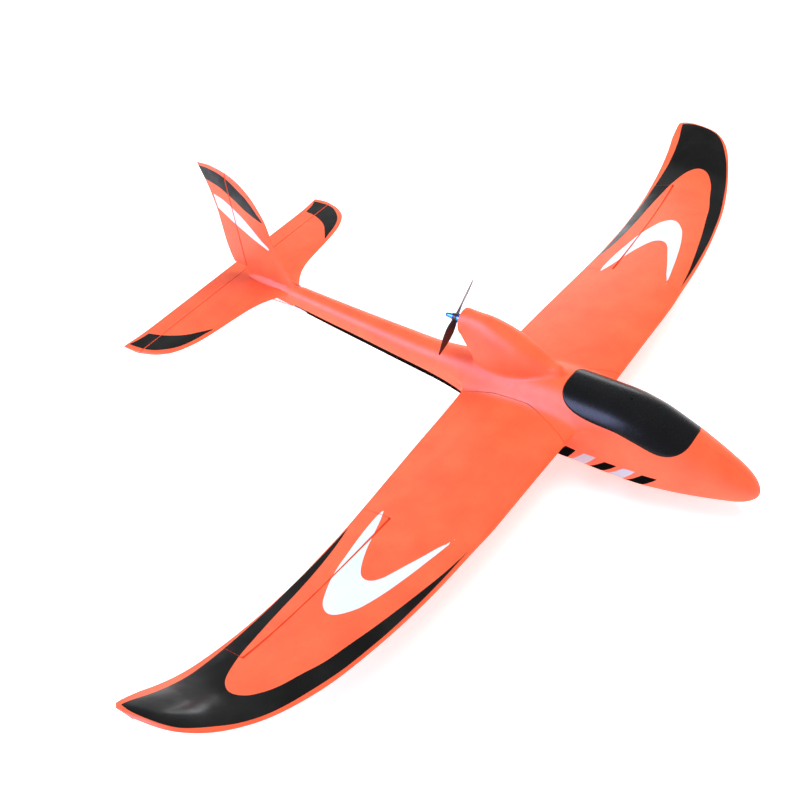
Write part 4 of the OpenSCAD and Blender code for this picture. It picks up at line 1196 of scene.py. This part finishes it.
for name, poly in BLOCKS + [("black_stripe", STRIPE)]:
    tone = name.split("_")[0]
    poly = np.array(poly, float)
    rear, front = poly[:, 0].min(), poly[:, 0].max()
    near = clip(side_skin, lambda v: np.maximum(v[:, 0] - front - 2, rear - 2 - v[:, 0]))
    mesh = film(near, side_view(poly))
    for side, turn in SIDES:
        # The side blocks take the matte film. Their white is painted shade: darker and lilac-blue instead of white.
        film_piece(f"side_{name}_{side}", turn(mesh), tone, look="film_matte_and_shaded")

# --- propeller ---

HUB_X, BLADE_REST = -163.5, math.radians(34)
BLADE_TIP, TIP_ROUND_FROM = 60.0, 55
chords = curve(np.linspace(4, BLADE_TIP, 10), [7.5, 9.5, 12, 13.5, 13.8, 13, 11.2, 8.6, 5.6, 2.0], 1.2, 8)


def blade(turn):
    radii = np.concatenate([np.linspace(3, TIP_ROUND_FROM, 44), np.linspace(55.6, BLADE_TIP, 10)])
    t = np.linspace(0, 2 * math.pi, 28, endpoint=False)
    rows = []
    for r in radii:
        close = math.sqrt(max(1 - max((r - TIP_ROUND_FROM) / 5.0, 0) ** 2, 0.0004))
        chord = float(chords(min(r, TIP_ROUND_FROM))) * close
        pitch = math.atan2(14, r + 3)
        thick = (3.4 - 2.5 * (r - 4) / 56) * (0.4 + 0.6 * close)
        uu = np.cos(t) * chord / 2
        vv = np.sin(t) * thick / 2 * (1 - 0.35 * np.cos(t)) + 0.05 * chord * (1 - np.cos(t) ** 2)
        x = HUB_X + uu * math.sin(pitch) - vv * math.cos(pitch)
        z = uu * math.cos(pitch) + vv * math.sin(pitch)
        c, s = math.cos(BLADE_REST + turn), math.sin(BLADE_REST + turn)
        rows.append(np.stack([x, r * c - z * s, MOTOR_AXIS + r * s + z * c], 1))
    v = np.concatenate(rows + [rows[-1].mean(0)[None]])
    f = grid_tris(len(radii), 28, wrap=True)
    last = (len(radii) - 1) * 28
    k = np.arange(28)
    cap = np.stack([last + k, last + (k + 1) % 28, np.full(28, len(v) - 1)], 1)
    return v, np.concatenate([f, cap])


def turned(profile):
    """A round piece about the motor's axis, from (x, radius) pairs."""
    t = np.linspace(0, 2 * math.pi, 64, endpoint=False)
    rows = [np.stack([np.full(64, x), r * np.cos(t), MOTOR_AXIS + r * np.sin(t)], 1) for x, r in profile]
    return np.concatenate(rows), grid_tris(len(rows), 64, wrap=True)


HUB = [(-160.05, 2.7), (-160.05, 5.2), (-160.3, 5.7), (-160.9, 6), (-166.1, 6), (-166.7, 5.7), (-167, 5.2),
       (-167, 2.7)]
CONE = [(-159.7, 3), (-159.7, 5.9), (-159.4, 6.3), (-158.8, 6.4), (-152.6, 4.35), (-152.1, 4.1), (-152, 3.6),
        (-152, 1.65)]
NUT = [(-167.1, 2.8), (-167.1, 5), (-167.4, 5.4), (-169.1, 5.4), (-169.5, 5.1), (-169.5, 4.4), (-173, 3.9),
       (-176.5, 3.5), (-179, 3.0), (-180.2, 2.3), (-180.5, 1.4), (-180.5, 0.05)]
blades = join(blade(0), blade(math.pi), turned(HUB))
piece("propeller_blades", blades, "prop", "propeller", ["propeller"], 30)
piece("adapter_cone", turned(CONE), "blue", "propeller", ["propeller_adapter"], 30)
piece("adapter_nut", turned(NUT), "blue", "propeller", ["propeller_nut"], 30)

# --- looks of the CAD pieces that stay ---

KEEP = {
    "steel": ["canopy_magnets", "bay_magnets", "motor_screws", "aileron_pushrod_left", "aileron_pushrod_right",
              "elevator_pushrod", "rudder_pushrod"],
    "bell": ["motor_bell", "motor_base"],
    "carbon": ["wing_spar", "alignment_dowels"],
    "plywood": ["battery_tray", "servo_trays"],
    "webbing": ["battery_strap"],
    "battery": ["battery"],
    "case": ["receiver"],
    "wrap": ["speed_controller"],
    "black_nylon": ["motor_mount"],
    "servo": ["aileron_servo_left", "aileron_servo_right", "elevator_servo", "rudder_servo"],
    "white_nylon": ["aileron_servo_arm_left", "aileron_servo_arm_right", "elevator_servo_arm", "rudder_servo_arm",
                    "elevator_guide_tube", "rudder_guide_tube", "aileron_horn_left", "aileron_horn_right",
                    "elevator_horn", "rudder_horn", "aileron_hinge_pins_left", "aileron_hinge_pins_right",
                    "elevator_hinge_pins", "rudder_hinge_pins", "aileron_hinge_leaves_left",
                    "aileron_hinge_leaves_right", "elevator_hinge_leaves", "rudder_hinge_leaves"],
}
for look, names in KEEP.items():
    for name in names:
        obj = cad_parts[name]
        obj.data.materials.clear()
        obj.data.materials.append(LOOKS[look])

# --- floor, light and camera ---

floor_look = Nodes("floor", Roughness=0.75, Emission_Color=(1, 1, 1, 1), Emission_Strength=0.5)
greys = [(0.3, (0.93, 0.93, 0.93)), (0.7, (0.96, 0.96, 0.96))]
floor_look.set(Base_Color=floor_look.tint(floor_look.noise(3, 3), *greys))
floor_mesh = bpy.data.meshes.new("floor")
FLOOR = 40
corners = [(-FLOOR, -FLOOR, 0), (FLOOR, -FLOOR, 0), (FLOOR, FLOOR, 0), (-FLOOR, FLOOR, 0)]
floor_mesh.from_pydata(corners, [], [(0, 1, 2, 3)])
floor_mesh.materials.append(floor_look.material)
floor = placed("floor", floor_mesh)

world = bpy.data.worlds.new("studio")
bpy.context.scene.world = world
world.use_nodes = True
sky = world.node_tree
height = sky.nodes.new("ShaderNodeSeparateXYZ")
fade = sky.nodes.new("ShaderNodeValToRGB")
sky.links.new(sky.nodes.new("ShaderNodeTexCoord").outputs["Generated"], height.inputs["Vector"])
sky.links.new(height.outputs["Z"], fade.inputs["Fac"])
sky.links.new(fade.outputs["Color"], sky.nodes["Background"].inputs["Color"])
for stop, (at, level) in zip(fade.color_ramp.elements, ((0.12, 1.0), (0.3, 0.44))):
    stop.position = at
    stop.color = (0.95 * level, 0.97 * level, level, 1)
sky.nodes["Background"].inputs["Strength"].default_value = 0.95
bpy.context.scene.view_settings.view_transform = "Standard"


def aim_from(obj, place, back, roll=0.0):
    """Puts a lamp or camera at a place, looking against the direction back."""
    right = np.cross([0, 0, 1], back)
    right /= np.linalg.norm(right)
    up = np.cross(back, right)
    c, s = math.cos(roll), math.sin(roll)
    right, up = right * c + up * s, up * c - right * s
    rows = [[*row, p] for row, p in zip(np.stack([right, up, back], 1), place)]
    obj.matrix_world = Matrix(rows + [[0, 0, 0, 1]])


def lamp(name, place, aim, size, watts, colour=(1, 1, 1), glossy=True, diffuse=True):
    data = bpy.data.lights.new(name, "AREA")
    data.shape = "RECTANGLE"
    data.size, data.size_y = size
    data.energy = watts
    data.color = colour
    obj = placed(name, data)
    back = np.array(place, float) - np.array(aim, float)
    aim_from(obj, place, back / np.linalg.norm(back))
    obj.visible_glossy = glossy
    obj.visible_diffuse = diffuse


lamp("key", (0.3, 0.9, 3.0), (-0.1, 0, 0.05), (2.4, 1.8), 84, glossy=False)
lamp("near_side", (-1.4, -2.2, 0.95), (-0.1, 0, 0.1), (2.2, 1.0), 46, (0.66, 0.75, 1.0), glossy=False)
lamp("sheen", (-1.5, -1.95, 1.8), (-0.05, 0, 0.1), (2.6, 1.7), 165, (0.5, 0.56, 1.0), diffuse=False)
lamp("far_side", (-1.5, 2.8, 0.8), (-0.1, 0, 0.1), (2.4, 0.8), 20, (0.94, 0.98, 1.0))

CAMERA_PLACE = (0.55656, -0.95262, 1.06523)
azimuth, elevation, roll = np.radians([41.804, 40.993, -9.266])
camera_data = bpy.data.cameras.new("camera")
camera_data.sensor_width = 36
camera_data.lens = 46.82
camera_data.clip_end = 50
camera = placed("camera", camera_data)
level = math.cos(elevation)
back = np.array([math.sin(azimuth) * level, -math.cos(azimuth) * level, math.sin(elevation)])
aim_from(camera, CAMERA_PLACE, back, roll)
bpy.context.scene.camera = camera
